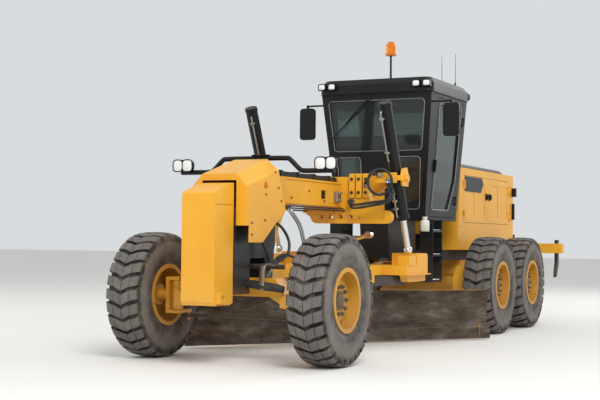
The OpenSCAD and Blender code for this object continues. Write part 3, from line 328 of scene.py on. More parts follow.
# Second colours of two painted nodes: the black ends of the front frame, which are the bolster's black paint
# with painted shade under the nose cover at the front and painted shade under the cab at the rear, and the
# dark shanks of the ripper
frameEndsBlackAndShadeLook = {"colour": "#17181B", "axis": "X", "middle": frontX - 1.95, "half": 1.55}
shankLook = {"colour": "#2A2521", "axis": "Z", "middle": 1.18, "half": 0.081}
materials = {
    "yellow_paint": paint("machine yellow enamel on steel", yellowLook),
    "black_paint": paint("black cab enamel on steel", blackLook),
    "dark_paint": paint("dark grey primer coated steel", darkLook),
    "seat_fabric": rubber("woven seat cloth", seatLook),
    "tyre": treadRubber("front tyre rubber", tyreLook, (frontX, 0, axleZ)),
    "bare_steel": metal("machined bare steel", steelLook),
    "blade_steel": bladeSteel("soil polished blade steel", bladeLook),
    "chrome_rod": metal("hard chrome plated rod", chromeLook),
    "amber_lens": glazing("amber moulded lens plastic", amberLook),
    "window_glass": glazing("tinted safety glass", windowLook),
}
slotOf = {row["node"]: row["material_slot"] for row in frame["record"]["subparts"]}
for name, item in nodes.items():
    item.data.materials.clear()
    item.data.materials.append(materials[slotOf[name]])
# Black at both ends of the front frame: at the front, the bolster's black paint with painted shade under the
# nose cover; at the rear, painted shade under the cab
nodes["front_frame"].data.materials[0] = paint("machine yellow enamel with a black bolster", yellowLook,
                                               frameEndsBlackAndShadeLook)
nodes["ripper"].data.materials[0] = paint("machine yellow enamel with dark shanks", yellowLook, shankLook)
rimPaint = paint("wheel enamel with dried mud", rimLook)
for name in nodes:
    if name.startswith("rim_"):
        nodes[name].data.materials[0] = rimPaint
print("materials set")


# Shapes: a part is (points, faces), and a piece joins several parts into one mesh

def outwardPart(points, faces):
    # A closed part with its faces turned outward, told by the sum of the signed volumes under its faces
    volume = 0.0
    for count in sorted({len(face) for face in faces}):
        loops = points[np.array([face for face in faces if len(face) == count])]
        volume += np.sum(np.cross(loops[:, 1:-1], loops[:, 2:]) * loops[:, :1])
    return (points, [face[::-1] for face in faces]) if volume < 0 else (points, faces)


def gridPart(points, loopRows=False):
    # Faces between neighbouring points of a grid (rows, columns, 3). Columns loop, and the first and last
    # rows are closed with one face each unless the rows loop too
    rows, cols = points.shape[:2]
    index = np.arange(rows * cols).reshape(rows, cols)
    r = np.arange(rows if loopRows else rows - 1)[:, None]
    c = np.arange(cols)[None, :]
    nextRow, nextCol = (r + 1) % rows, (c + 1) % cols
    quads = np.stack([index[r, c], index[nextRow, c], index[nextRow, nextCol], index[r, nextCol]], -1)
    faces = quads.reshape(-1, 4).tolist()
    if not loopRows:
        faces.append(index[0][::-1].tolist())
        faces.append(index[-1].tolist())
    return outwardPart(points.reshape(-1, 3), faces)


def moved(part, turn=None, shift=(0, 0, 0), mirrorY=False):
    # A part turned by a 3 by 3 matrix, moved, and then mirrored across Y where asked
    points, faces = part
    if turn is not None:
        points = points @ np.array(turn).T
    points = points + np.array(shift)
    if mirrorY:
        points = points * (1, -1, 1)
        faces = [face[::-1] for face in faces]
    return points, faces


def turnAbout(axis, degrees):
    # A 3 by 3 turn about one of the axes x, y or z
    return np.array(Matrix.Rotation(math.radians(degrees), 3, axis.upper()))


def circle(radius, steps):
    # Points of a flat ring, anticlockwise
    a = np.arange(steps) * 2 * math.pi / steps
    return np.stack([radius * np.cos(a), radius * np.sin(a)], -1)


def oval(wide, high, steps=8):
    # A ring drawn out to a width and a height
    return circle(0.5, steps) * (wide, high)


def rectangle(wide, high):
    # The four corners of a rectangle about the origin, anticlockwise
    return np.array([(-wide, -high), (wide, -high), (wide, high), (-wide, high)]) / 2


def roundedOutline(corners, radius, steps=5):
    # A closed outline whose corners are arcs: at each corner the arc's centre lies on the halving line, and
    # the points go round it from one edge's foot to the other's
    here = np.array(corners, float)
    before, after = np.roll(here, 1, 0) - here, np.roll(here, -1, 0) - here
    before /= np.linalg.norm(before, axis=1)[:, None]
    after /= np.linalg.norm(after, axis=1)[:, None]
    half = np.arccos(np.clip(np.sum(before * after, 1), -1, 1))[:, None] / 2
    inward = (before + after) / np.linalg.norm(before + after, axis=1)[:, None]
    centre = here + inward * radius / np.sin(half)
    start, end = here + before * radius / np.tan(half), here + after * radius / np.tan(half)
    t = np.linspace(0, 1, steps)[None, :, None]
    way = (start - centre)[:, None] * (1 - t) + (end - centre)[:, None] * t
    way /= np.linalg.norm(way, axis=2)[:, :, None]
    return (centre[:, None] + way * radius).reshape(-1, 2)


def platePart(outline, thick, bevel):
    # A flat outline (n, 2) with thickness along z and bevelled edges: four rows, of which the outer two
    # stand in by the bevel along each corner's own halving line
    outline = np.array(outline, float)
    ahead = np.roll(outline, -1, 0) - outline
    ahead /= np.linalg.norm(ahead, axis=1)[:, None]
    square = np.stack([ahead[:, 1], -ahead[:, 0]], -1)
    out = square + np.roll(square, 1, 0)
    out /= np.linalg.norm(out, axis=1)[:, None]
    inner = outline - out * bevel
    rows = [(inner, 0), (outline, bevel), (outline, thick - bevel), (inner, thick)]
    return gridPart(np.array([np.column_stack([o, np.full(len(o), z)]) for o, z in rows]))


def turnedPart(profile, steps=32):
    # A closed profile of (radius, height) points turned about z
    profile = np.array(profile, float)
    a = np.arange(steps) * 2 * math.pi / steps
    grid = np.stack([np.outer(np.cos(a), profile[:, 0]), np.outer(np.sin(a), profile[:, 0]),
                     np.outer(np.ones(steps), profile[:, 1])], -1)
    return gridPart(grid, loopRows=True)


def smoothPath(points, steps=6):
    # A path that passes through every point: between two points each coordinate is the cubic whose slopes
    # are half the way between the neighbours
    p = np.array(points, float)
    p = np.vstack([2 * p[0] - p[1], p, 2 * p[-1] - p[-2]])
    a, b, c, d = (p[i:len(p) - 3 + i, None] for i in range(4))
    t = np.linspace(0, 1, steps, endpoint=False)[None, :, None]
    legs = 0.5 * (2 * b + (c - a) * t + (2 * a - 5 * b + 4 * c - d) * t ** 2
                  + (3 * b - a - 3 * c + d) * t ** 3)
    return np.vstack([legs.reshape(-1, p.shape[1]), p[-2:-1]])


def carried(path, section, closed=False, scale=None):
    # A flat section (k, 2) carried along a path. Its plane stays square to the path, and turns from point to
    # point only as much as the path bends. Scale gives the section's size at each point
    path = np.array(path, float)
    ahead = np.roll(path, -1, 0) - np.roll(path, 1, 0) if closed else np.gradient(path, axis=0)
    ahead /= np.linalg.norm(ahead, axis=1)[:, None]
    side = np.cross(ahead[0], (0, 0, 1) if abs(ahead[0][2]) < 0.9 else (1, 0, 0))
    grid = []
    for i, t in enumerate(ahead):
        side = side - t * (side @ t)
        side /= np.linalg.norm(side)
        up = np.cross(side, t)
        size = 1 if scale is None else scale[i]
        grid.append(path[i] + size * (section[:, :1] * side + section[:, 1:] * up))
    return gridPart(np.array(grid), loopRows=closed)


def makePiece(name, parts, body, slotName, material=None, crease=32):
    # Joins parts into one mesh object that rides on a body, in the slot's own material unless one is given
    points, faces, start = [], [], 0
    for partPoints, partFaces in parts:
        points.append(partPoints)
        faces.extend([[i + start for i in face] for face in partFaces])
        start += len(partPoints)
    shape = bpy.data.meshes.new(name)
    shape.from_pydata(np.vstack(points), [], faces)
    shape.polygons.foreach_set("use_smooth", np.ones(len(shape.polygons), bool))
    shape.set_sharp_from_angle(angle=math.radians(crease))
    shape.materials.append(material or materials[slotName])
    piece = bpy.data.objects.new(name, shape)
    bpy.context.scene.collection.objects.link(piece)
    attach(piece, body)
    return piece


def fromAxle(x, y, z):
    # A point given in millimetres from the ground under the front axle, as the solids are drawn
    return np.array([frontX + x / 1000, y / 1000, z / 1000])


def hexPart(place, turn, across=0.024, high=0.012):
    # A hexagon bolt head on a face whose outward direction is z before the turn
    return moved(platePart(circle(across / math.sqrt(3), 6), high, high * 0.16), turn, place)


def headPart(radius, rise):
    # A round bolt head: its height falls as a quarter circle from the middle to the rim
    t = np.linspace(0, math.pi / 2, 5)
    return turnedPart([(0, -0.003), (radius, -0.003)]
                      + [(radius * math.cos(a), rise * math.sin(a)) for a in t], 12)


outward = {"+x": turnAbout("y", 90), "-x": turnAbout("y", -90), "+y": turnAbout("x", -90),
           "-y": turnAbout("x", 90)}
faceForward = np.array([(0, 0, 1), (1, 0, 0), (0, 1, 0)], float)       # keeps a flat outline upright
faceBack = np.array([(0, 0, -1), (-1, 0, 0), (0, 1, 0)], float)
bothSides = ((1, "+y"), (-1, "-y"))
beamHalf, noseHalf, hoodHalf = 200, 320, 550    # side faces of the beam, nose cover and hood, in millimetres


# Tyres

axleBacks = {"f": 0.0, "m": -5.3615, "r": -6.8845}  # each axle's place behind the front axle, in metres
wheels = [(axle + sideName, axle, side) for axle in axleBacks for sideName, side in (("l", 1), ("r", -1))]
tyreSize = {"radius": 0.675, "half": 0.2, "rows": 28, "around": 112, "row": 0.71, "sweep": 0.56,
            "ringHigh": 0.0016, "ringPitch": 0.018, "ringFrom": 0.40, "ringTo": 0.45}


def treadedTyre():
    # Carcass: a cross-section of radius and width turned about the wheel's axis, with fine rings raised on
    # the sidewall. Tread: rows of four blocks, each a section carried round a short arc. A row's front edge
    # lies further back the further out it is, so that the rows form arrow heads
    size = tyreSize
    edge = smoothPath([(0.307, 0.150), (0.309, 0.171), (0.345, 0.173), (0.395, 0.190), (0.470, 0.2005),
                       (0.552, 0.1985), (0.598, 0.187), (0.621, 0.166), (0.635, 0.130), (0.641, 0.060)], 4)
    out = edge[:, 0]
    ringed = (out > size["ringFrom"]) & (out < size["ringTo"])
    wave = np.sin((out - size["ringFrom"]) * 2 * math.pi / size["ringPitch"])
    edge[:, 1] += size["ringHigh"] * wave * ringed
    section = np.vstack([edge * (1, -1), edge[::-1]])
    a = np.arange(size["around"]) * 2 * math.pi / size["around"]
    carcass = gridPart(np.stack([np.outer(np.cos(a), section[:, 0]),
                                 np.outer(np.ones(len(a)), section[:, 1]),
                                 np.outer(np.sin(a), section[:, 0])], -1), loopRows=True)
    inner = np.array([(0.003, 0.636), (0.003, 0.670), (0.007, 0.675), (0.052, 0.6745), (0.095, 0.672),
                      (0.0985, 0.668), (0.0985, 0.630)])
    outer = np.array([(0.1035, 0.628), (0.1035, 0.667), (0.107, 0.671), (0.145, 0.667), (0.176, 0.658),
                      (0.194, 0.640), (0.2015, 0.614), (0.2005, 0.584), (0.184, 0.582), (0.166, 0.605),
                      (0.138, 0.620)])
    pitch = 2 * math.pi * size["radius"] / size["rows"]
    along = np.array([0.0, 0.07, 0.93, 1.0])[:, None]
    sink = np.array([0.005, 0.0, 0.0, 0.005])[:, None]
    parts = [carcass]
    for shape, slope, start in ((inner, 1.15, 0.0), (outer, 0.7, 0.5)):
        y, r = shape.T
        back = size["sweep"] * pitch * (start + slope * (y - y[0]) / size["half"])
        front = 0.5 * pitch * (size["row"] + size["sweep"]) - back
        theta = (front - along * size["row"] * pitch) / size["radius"]
        radius = r - sink * (r > 0.64)
        block = np.stack([radius * np.sin(theta), np.broadcast_to(y, theta.shape),
                          radius * np.cos(theta)], -1)
        for step in range(size["rows"]):
            turn = turnAbout("y", step * 360 / size["rows"])
            for side in (1, -1):
                parts.append(gridPart(block @ turn.T * (1, side, 1)))
    return parts


tyreParts = treadedTyre()
tyreRubbers = {"f": materials["tyre"]}
for axle, word in (("m", "middle"), ("r", "rear")):
    tyreRubbers[axle] = treadRubber(word + " tyre rubber", tyreLook, (frontX + axleBacks[axle], 0, axleZ))
for key, axle, side in wheels:
    place = (frontX + axleBacks[axle], side * wheelY, axleZ)
    made = makePiece("tyre_dressed_" + key, [moved(part, None, place) for part in tyreParts], "wheel_" + key,
                     "tyre", tyreRubbers[axle], 30)
    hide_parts("tyre_" + key)
print("tyres made")


# Wheel disc, nuts, hub cap and valve

hubSize = {"nuts": 10, "ring": 0.142, "face": 0.092, "capBolts": 6, "capRing": 0.083}


def discPart():
    # The wheel's dished disc: a profile of radius and width that comes out of the rim's well in a smooth
    # curve to a flat ring for the nuts, turned about the wheel's axis
    face = hubSize["face"]
    front = smoothPath([(0.285, 0.044), (0.278, 0.050), (0.252, 0.062), (0.222, face - 0.010), (0.196, face),
                        (0.110, face), (0.098, face + 0.004)], 5)
    back = [(0.098, face - 0.014), (0.200, face - 0.014), (0.285, 0.034)]
    return moved(turnedPart(np.vstack([front, back]), 48), outward["+y"])


def hubParts():
    # Nuts with studs and washers on their ring, a domed cap whose height falls as a quarter circle, and a
    # bent valve stem
    size = hubSize
    washer = turnedPart([(0, 0), (0.023, 0), (0.023, 0.004), (0, 0.005)], 14)
    nut = hexPart((0, 0, 0.003), np.eye(3), 0.036, 0.024)
    stud = turnedPart([(0, 0), (0.010, 0), (0.010, 0.036), (0.008, 0.039), (0, 0.039)], 10)
    parts = []
    for x, z in circle(size["ring"], size["nuts"]):
        parts += [moved(part, outward["+y"], (x, size["face"] - 0.001, z)) for part in (washer, nut, stud)]
    cap = [(0, -0.012), (0.092, -0.012), (0.092, 0.010), (0.078, 0.016)]
    cap += [(0.070 * math.cos(t), 0.016 + 0.020 * math.sin(t)) for t in np.linspace(0, math.pi / 2, 6)]
    parts.append(moved(turnedPart(cap, 32), outward["+y"], (0, size["face"], 0)))
    for x, z in circle(size["capRing"], size["capBolts"]):
        parts.append(hexPart((x, size["face"] + 0.014, z), outward["+y"], 0.015, 0.009))
    stem = smoothPath([(0.258, 0.060, 0.02), (0.258, 0.085, 0.02), (0.236, 0.100, 0.018),
                       (0.212, 0.102, 0.016)])
    parts.append(carried(stem, circle(0.0045, 8)))
    return parts


nutParts, disc = hubParts(), discPart()
nutSteel = paint("dusty dark zinc on wheel nuts", nutLook)
for key, axle, side in wheels:
    place = (frontX + axleBacks[axle], wheelY, axleZ)
    placed = [moved(part, None, place, side < 0) for part in nutParts]
    makePiece("wheel_nuts_" + key, placed, "wheel_" + key, "dark_paint", nutSteel)
    makePiece("wheel_disc_" + key, [moved(disc, None, place, side < 0)], "wheel_" + key, "yellow_paint",
              rimPaint)
print("wheel nuts made")


# Window seals. Sizes in millimetres say where they lie at the floor, and how the walls lean up to the eave

cabWall = {"front": -3846, "rear": -5083, "half": 633.5, "floor": 1560, "rise": 1670, "lean": 200,
           "spread": 155}
sealSize = {"wide": 0.020, "high": 0.010, "corner": 50}        # metres across, the corner in millimetres


def frontWall(y, z):
    # The cab's front face: it leans forward evenly from the floor to the eave
    return fromAxle(cabWall["front"] + (z - cabWall["floor"]) * cabWall["lean"] / cabWall["rise"], y, z)


def rearWall(y, z):
    # The cab's rear face, which stands upright
    return fromAxle(cabWall["rear"], y, z)


def sideWall(x, z, side):
    # A cab side: it leans outward evenly from the floor to the eave
    out = cabWall["half"] + (z - cabWall["floor"]) * cabWall["spread"] / cabWall["rise"]
    return fromAxle(x, side * out, z)


def sealPart(corners, onWall, *which):
    # A flattened ring section carried round a window's rounded outline on its wall
    path = [onWall(a, b, *which) for a, b in roundedOutline(corners, sealSize["corner"])]
    return carried(path, oval(sealSize["high"], sealSize["wide"]), closed=True)


glassFront = [[(-620, 2470), (620, 2470), (690, 3140), (-690, 3140)],
              [(-560, 1900), (-250, 1900), (-250, 2390), (-600, 2390)],
              [(250, 1700), (560, 1700), (600, 2390), (250, 2390)]]
glassDoor = [(-4040, 1700), (-4040, 2450), (-3990, 3100), (-4880, 3100), (-4880, 2100), (-4700, 1700)]
glassRear = [(-560, 2100), (560, 2100), (640, 3110), (-640, 3110)]
sealRubber = rubber("weathered window seal rubber", sealLook)
seals = [sealPart(corners, frontWall) for corners in glassFront] + [sealPart(glassRear, rearWall)]
makePiece("window_seals", seals, "front", "black_paint", sealRubber)
for key, side in (("l", 1), ("r", -1)):
    makePiece("door_seal_" + key, [sealPart(glassDoor, sideWall, side)], "door_" + key, "black_paint",
              sealRubber)
print("window seals made")


# Lamps: lenses and bezels on every lamp, and the headlamps' shells on their bent bar

lampSize = {"work": (0.086, 0.066), "bulge": 0.010, "bezel": 0.006, "margin": 0.014, "shell": (0.248, 0.132)}


def stackedPart(outline, rows):
    # A flat outline stacked along z: each row has its own scale and height
    return gridPart(np.array([np.column_stack([outline * scale, np.full(len(outline), z)])
                              for scale, z in rows]))


def lensPart(wide, high):
    # A lens: rings of a rounded outline shrink towards the middle while its height grows as a quarter sine
    ring = roundedOutline(rectangle(wide, high), high * 0.28)
    rows = [(1 - t, lampSize["bulge"] * math.sin(t * math.pi / 2)) for t in np.linspace(0, 1, 6)[:-1]]
    return stackedPart(ring, [(1, -0.006)] + rows)


def bezelPart(wide, high):
    # A frame round a lens: a small round section carried along the lens's rounded outline
    wide, high = wide + lampSize["margin"], high + lampSize["margin"]
    ring = roundedOutline(rectangle(wide, high), high * 0.3)
    return carried(np.column_stack([ring, np.zeros(len(ring))]), circle(lampSize["bezel"], 8), closed=True)


def lampShell(side):
    # A lamp's shell: a rounded outline whose size falls as a quarter ellipse from the lens back to the bar
    ring = roundedOutline(rectangle(*lampSize["shell"]), 0.045, 6)
    rows = [(0.96, 0.0), (1.0, -0.006), (0.97, -0.040), (0.86, -0.075), (0.66, -0.100), (0.40, -0.112)]
    return moved(stackedPart(ring, rows), faceForward, fromAxle(-230, side * 868, 2083))


lampPlaces = [((-226, side * y, 2083), (wide, 0.116), faceForward)
              for side in (-1, 1) for y, wide in ((808, 0.112), (930, 0.104))]
lampPlaces += [((-3554, y, 3328), lampSize["work"], faceForward) for y in (-745, -600, 600, 745)]
lampPlaces += [((-5181, y, 3308), lampSize["work"], faceBack) for y in (-745, -600, 600, 745)]
lenses = [moved(lensPart(*size), turn, fromAxle(*place)) for place, size, turn in lampPlaces]
bezels = [moved(bezelPart(*size), turn, fromAxle(*place)) for place, size, turn in lampPlaces]
makePiece("lamp_lenses", lenses, "front", "window_glass", glazing("ribbed lamp lens glass", lampLook))
makePiece("lamp_bezels", bezels, "front", "black_paint")
barHalf = [(0, 2152), (200, 2153), (360, 2150), (410, 2138), (520, 2036), (575, 2014), (700, 2012),
           (930, 2012)]
barRoute = [(-y, z) for y, z in barHalf[:0:-1]] + barHalf
lampBar = [carried(smoothPath([fromAxle(-320, y, z) for y, z in barRoute], 4), circle(0.027, 12))]
for side in (1, -1):
    post = [fromAxle(-320, side * 135, z) for z in (1968, 2030, 2090, 2140)]
    foot = [fromAxle(-318, side * 868, z) for z in (2012, 2030, 2050)]
    lampBar += [carried(post, oval(0.030, 0.055)), lampShell(side), carried(foot, circle(0.022, 10))]
mountPlate = platePart(roundedOutline(rectangle(0.08, 0.20), 0.012), 0.02, 0.003)
lampBar.append(moved(mountPlate, None, fromAxle(-320, 60, 2172)))
lampBarPiece = makePiece("headlamp_bar", lampBar, "front", "black_paint")
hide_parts("headlamps")
print("lamps made")


# Mirror glass

mirrorSize = {"wide": 0.190, "high": 0.400, "corner": 0.03, "thick": 0.004, "place": (-3753.5, 1030, 2855)}
mirrorOutline = roundedOutline(rectangle(mirrorSize["wide"], mirrorSize["high"]), mirrorSize["corner"])
mirrorPlate = platePart(mirrorOutline, mirrorSize["thick"], 0.001)
mirrors = [moved(mirrorPlate, faceForward, fromAxle(*mirrorSize["place"]), side < 0) for side in (1, -1)]
makePiece("mirror_glass", mirrors, "front", "window_glass", metal("silvered mirror glass", mirrorLook))
print("mirrors made")


# Operator's seat, steering column and console, in place of the plain solid

seatSize = {"x": -4.52, "floor": 1.6053, "wide": 0.50, "deep": 0.50, "cushion": 0.13, "back": 0.62,
            "tilt": -8}
steerSize = {"x": -4.13, "z": 2.335, "tilt": -28, "radius": 0.19, "rim": 0.015, "spokes": 3}


def signedPower(value, exponent):
    # A value's size taken to a power, with its sign kept
    return np.sign(value) * np.abs(value) ** exponent


def cushionPart(centre, size, bend=0.35, pinch=0.04):
    # A crowned cushion: a rounded box whose outline is a power of sine and cosine both ways round, with its
    # sides drawn in between the corners and its top raised towards the middle
    u = np.linspace(-math.pi, math.pi, 49)[:-1]
    v = np.linspace(-math.pi / 2 + 0.02, math.pi / 2 - 0.02, 17)
    flatX, flatY = signedPower(np.cos(u), bend), signedPower(np.sin(u), bend)
    drawn = 1 - pinch * (1 - (flatX * flatY) ** 2)
    ring = signedPower(np.cos(v), 0.4)
    x = np.outer(ring, flatX * drawn) * size[0] / 2
    y = np.outer(ring, flatY * drawn) * size[1] / 2
    lift = np.outer(signedPower(np.sin(v), 0.5), np.ones(len(u)))
    crown = 1 + 0.16 * (1 - np.clip((x * 2 / size[0]) ** 2 + (y * 2 / size[1]) ** 2, 0, 1))
    return moved(gridPart(np.stack([x, y, lift * crown * size[2] / 2], -1)), None, centre)


def tilted(part, pivot, degrees):
    # A part turned about a line along y through a pivot
    points, faces = part
    return (points - pivot) @ turnAbout("y", degrees).T + pivot, faces


seatX, seatTop = frontX + seatSize["x"], seatSize["floor"] + 0.40
seatCloth = rubber("woven seat cloth on foam", seatLook)
lowPart = cushionPart((seatX, 0, seatTop + 0.055), (seatSize["deep"], seatSize["wide"], seatSize["cushion"]))
cushion = makePiece("seat_cushion", [lowPart], "front", "seat_fabric", seatCloth, 60)
backPivot = np.array([seatX - 0.25, 0, seatTop + 0.05])
backPart = cushionPart((0, 0, 0), (seatSize["back"], seatSize["wide"] - 0.04, 0.12))
backPart = moved(backPart, turnAbout("y", 90), (seatX - 0.26, 0, seatTop + 0.38))
backCushion = makePiece("seat_back_cushion", [tilted(backPart, backPivot, seatSize["tilt"])], "front",
                        "seat_fabric", seatCloth, 60)
bellows = [(0.0, 0.0), (0.16, 0.0), (0.16, 0.03)]
for k in range(5):
    bellows += [(0.145, 0.05 + k * 0.05), (0.165, 0.075 + k * 0.05)]
bellows += [(0.15, 0.31), (0.20, 0.33), (0.22, 0.36), (0.22, 0.385), (0.0, 0.385)]
backShell = platePart(roundedOutline([(-0.22, -0.30), (0.22, -0.30), (0.20, 0.32), (-0.20, 0.32)], 0.06),
                      0.03, 0.008)
backShell = moved(backShell, faceForward, (seatX - 0.345, 0, seatTop + 0.38))
frameParts = [moved(turnedPart(bellows, 32), None, (seatX, 0, seatSize["floor"])),
              tilted(backShell, backPivot, seatSize["tilt"])]
for side in (1, -1):
    arm = [(seatX + x, side * y, seatTop + z) for x, y, z in (
        (-0.30, 0.27, 0.22), (-0.10, 0.29, 0.25), (0.12, 0.29, 0.25), (0.20, 0.28, 0.24))]
    frameParts.append(carried(smoothPath(arm), oval(0.035, 0.07, 10)))
column = smoothPath([fromAxle(-4020, 0, seatSize["floor"] * 1000), fromAxle(-4040, 0, 1900),
                     fromAxle(-4090, 0, 2220), fromAxle(-4120, 0, 2300)])
frameParts.append(carried(column, circle(0.045, 14)))
steerRim = np.column_stack([circle(steerSize["radius"], 40), np.zeros(40)])
steerParts = [carried(steerRim, circle(steerSize["rim"], 10), closed=True)]
for x, y in circle(1, steerSize["spokes"]):
    spoke = smoothPath([(0, 0, -0.02), (0.10 * x, 0.10 * y, -0.006),
                        (steerSize["radius"] * x, steerSize["radius"] * y, 0)])
    steerParts.append(carried(spoke, circle(0.010, 8)))
steerPlace = (frontX + steerSize["x"], 0, steerSize["z"])
frameParts += [moved(part, turnAbout("y", steerSize["tilt"]), steerPlace) for part in steerParts]
consolePlace = fromAxle(-4060, 0, 2220)
console = platePart(roundedOutline([(-0.16, -0.11), (0.16, -0.11), (0.13, 0.13), (-0.13, 0.13)], 0.03), 0.06,
                    0.012)
frameParts.append(tilted(moved(console, faceForward, consolePlace), consolePlace, -22))
seatFrame = makePiece("seat_frame_and_console", frameParts, "front", "dark_paint")
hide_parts("cab_seat")
print("seat and console made")


# Bolts, each as (x, y, z, face, width over flats) in millimetres

coverBolts, beamBolts, rearBolts = [], [], []
for side, face in bothSides:
    coverBolts += [(x, side * noseHalf, z, face, 20) for x, z in (
        (47, 1750), (67, 1482), (350, 1450), (350, 1330), (-150, 1990), (-235, 1830), (-300, 1690))]
    coverBolts += [(x, side * 300, z, face, 30) for x in (-2570, -2480, -2270) for z in (1645, 2008)]
    beamBolts += [(x, side * beamHalf, z, face, 22) for x, z in (
        (-780, 1745), (-1230, 1836), (-1640, 1735), (-2720, 1905), (-3400, 1905))]
    rearBolts += [(-8050, side * hoodHalf, z, face, 24) for z in (1300, 1700, 2100)]
    rearBolts += [(-5520, side * hoodHalf, z, face, 24) for z in (1300, 1500)]
coverBolts += [(-2060, 365 + k * 90, z, "+x", 34) for k in range(3) for z in (1850, 2010)]
rearBolts += [(-8295, side * y, z, "-x", 40) for side in (1, -1) for y in (480, 400) for z in (1330, 880)]
for name, body, slotName, rows in (("cover_and_saddle_bolts", "front", "dark_paint", coverBolts),
                                   ("beam_bolts", "front", "dark_paint", beamBolts),
                                   ("rear_bolts", "rear", "yellow_paint", rearBolts)):
    bolts = [hexPart(fromAxle(x, y, z), outward[face], wide / 1000, wide / 2200)
             for x, y, z, face, wide in rows]
    makePiece(name, bolts, body, slotName)
print("bolts made")


# Blade bolts: round heads in two rows along the cutting edge, seated on its slope

bladeSize = {"back": -2680, "end": 1875, "step": 150, "rows": (70, 130), "slope": 20 / 150}
bladeTurn = turnAbout("z", bladeAngle)
edgeTurn = bladeTurn @ turnAbout("y", 90 - math.degrees(math.atan(bladeSize["slope"])))
heads = []
for y in range(-bladeSize["end"], bladeSize["end"] + 1, bladeSize["step"]):
    for z in bladeSize["rows"]:
        x = 53 - (z - 22) * bladeSize["slope"]
        place = bladeTurn @ np.array([x, y, z]) / 1000 + fromAxle(bladeSize["back"], 0, 0)
        heads.append(moved(headPart(0.017, 0.009), edgeTurn, place))
makePiece("blade_bolts", heads, "moldboard", "blade_steel")
print("blade bolts made")


# Hoses and hard pipes that keep still with the front frame, with their radii in metres

hoseSize = {"hose": 0.016, "slim": 0.0144, "thin": 0.0128, "pipe": 0.009, "upright": 0.0117,
            "fitting": 0.021}
fittings = []


def fittingPart(place, ahead, length=0.05):
    # A crimped hose end: a ringed profile of radius and height turned about the hose's own direction
    r = hoseSize["fitting"]
    profile = [(0, -0.004), (r * 1.1, -0.004), (r * 1.1, 0.012), (r * 0.8, 0.014), (r * 0.8, 0.018),
               (r, 0.020), (r, length - 0.006), (r * 0.85, length), (0, length)]
    way = Vector(ahead).normalized().to_track_quat("Z", "Y").to_matrix()
    return moved(turnedPart(profile, 12), np.array(way), place)


def routePart(points, section, steps=6, scale=None):
    # A section carried along a smooth path through points in millimetres from the front axle
    return carried(smoothPath([fromAxle(*p) for p in points], steps), section, scale=scale)


def hosePart(points, kind, ends=True):
    # A round section carried along a smooth path, with a fitting at each end where asked
    path = smoothPath([fromAxle(*p) for p in points], 7)
    if ends:
        for i, j in ((0, 2), (-1, -3)):
            fittings.append(fittingPart(path[i], path[j] - path[i]))
    return carried(path, circle(hoseSize[kind], 10))


def sided(points, side):
    # A route of the left side, taken to the given side
    return [(x, side * y, z) for x, y, z in points]


def arcRoute(centre, radius, start, end, x, drift, steps):
    # Points on an arc in the Y and Z plane that drifts evenly along X
    a = np.radians(np.linspace(start, end, steps))
    return [(x + drift * i / (steps - 1), centre[0] + radius * math.cos(t), centre[1] + radius * math.sin(t))
            for i, t in enumerate(a)]


hoses, pipes, silver = [], [], []
for shift in (0, 36):
    hoses.append(hosePart([(-2088, 340 + shift, 1755), (-2030, 345 + shift, 1745),
                           (-1915, 440, 1700 - shift), (-1925, 668, 1725 - shift),
                           (-1925, 868 + shift / 2, 1755 - shift / 2), (-1950, 905 + shift, 1832),
                           (-2000, 845 + shift, 1945), (-2026, 840 + shift, 1990)], "hose"))
coil = arcRoute((770, 1967), 150, 155, -225, -1960, 14, 14)
hoses.append(hosePart([(-2060, 545, 1925), (-2010, 560, 1960)] + coil
                      + [(-1990, 720, 2060), (-2026, 760, 2040)], "hose"))
for side in (1, -1):
    for k in range(3):
        along = [(-2590 - 10 * k, 262 + k * 34, 1690), (-2700, 262 + k * 34, 1664 - 6 * k),
                 (-3100, 250 + k * 20, 1655), (-3500, 240 + k * 20, 1665), (-3760, 250 + k * 26, 1700),
                 (-3842, 260 + k * 30, 1705)]
        hoses.append(hosePart(sided(along, side), "slim"))
    hoses.append(hosePart(sided([(-330, 150, 1500), (-420, 260, 1420), (-470, 330, 1270), (-420, 345, 1130),
                                 (-330, 300, 1060), (-240, 260, 1000), (-160, 250, 930)], side), "hose"))
    hoses.append(hosePart(sided([(60, 180, 1330), (20, 250, 1270), (-60, 290, 1130), (-90, 300, 1010),
                                 (-70, 290, 900)], side), "hose"))
for side in (1, -1):
    for k in range(2):
        top, back, out = 1655 - k * 24, k * 30, 345 + k * 10
        level = [(-640, 205 + k * 4, top), (-1100, 216 + k * 4, top), (-1600, 216 + k * 4, top),
                 (-2040, 230, top), (-2104, 232 + k * 26, top + 5)]
        upright = [(-700 - back, 190, 1640), (-680 - back, 230 + k * 20, 1590),
                   (-760 - back, 300 + k * 16, 1440), (-800 - back, out, 1240)]
        hanging = [(-800 - back, out, 1240), (-770 - back, 375, 1130), (-640 - k * 20, 360, 1080),
                   (-420, 320 - k * 20, 1120), (-300, 270 - k * 20, 1060), (-200, 250 - k * 20, 950)]
        pipes.append(hosePart(sided(level, side), "pipe", False))
        silver.append(hosePart(sided(upright, side), "upright", False))
        hoses.append(hosePart(sided(hanging, side), "thin"))
boot = [(205, 60, 815), (212, 230, 822), (212, 380, 806), (205, 520, 790), (190, 610, 772)]
count = 8 * (len(boot) - 1) + 1
swell = 1 + 0.25 * np.sin(np.linspace(0, math.pi, count)) + 0.06 * np.sin(np.arange(count) * 1.9)
hoses.append(routePart(boot, circle(0.036, 14), 8, swell))
strap = [(60, 400, 1010), (150, 402, 1030), (232, 400, 1020), (254, 394, 960), (256, 388, 850),
         (240, 384, 772)]
silver.append(routePart(strap, roundedOutline(rectangle(0.064, 0.008), 0.002, 3), 5))
makePiece("hydraulic_hoses", hoses, "front", "black_paint", rubber("hydraulic hose rubber", hoseLook))
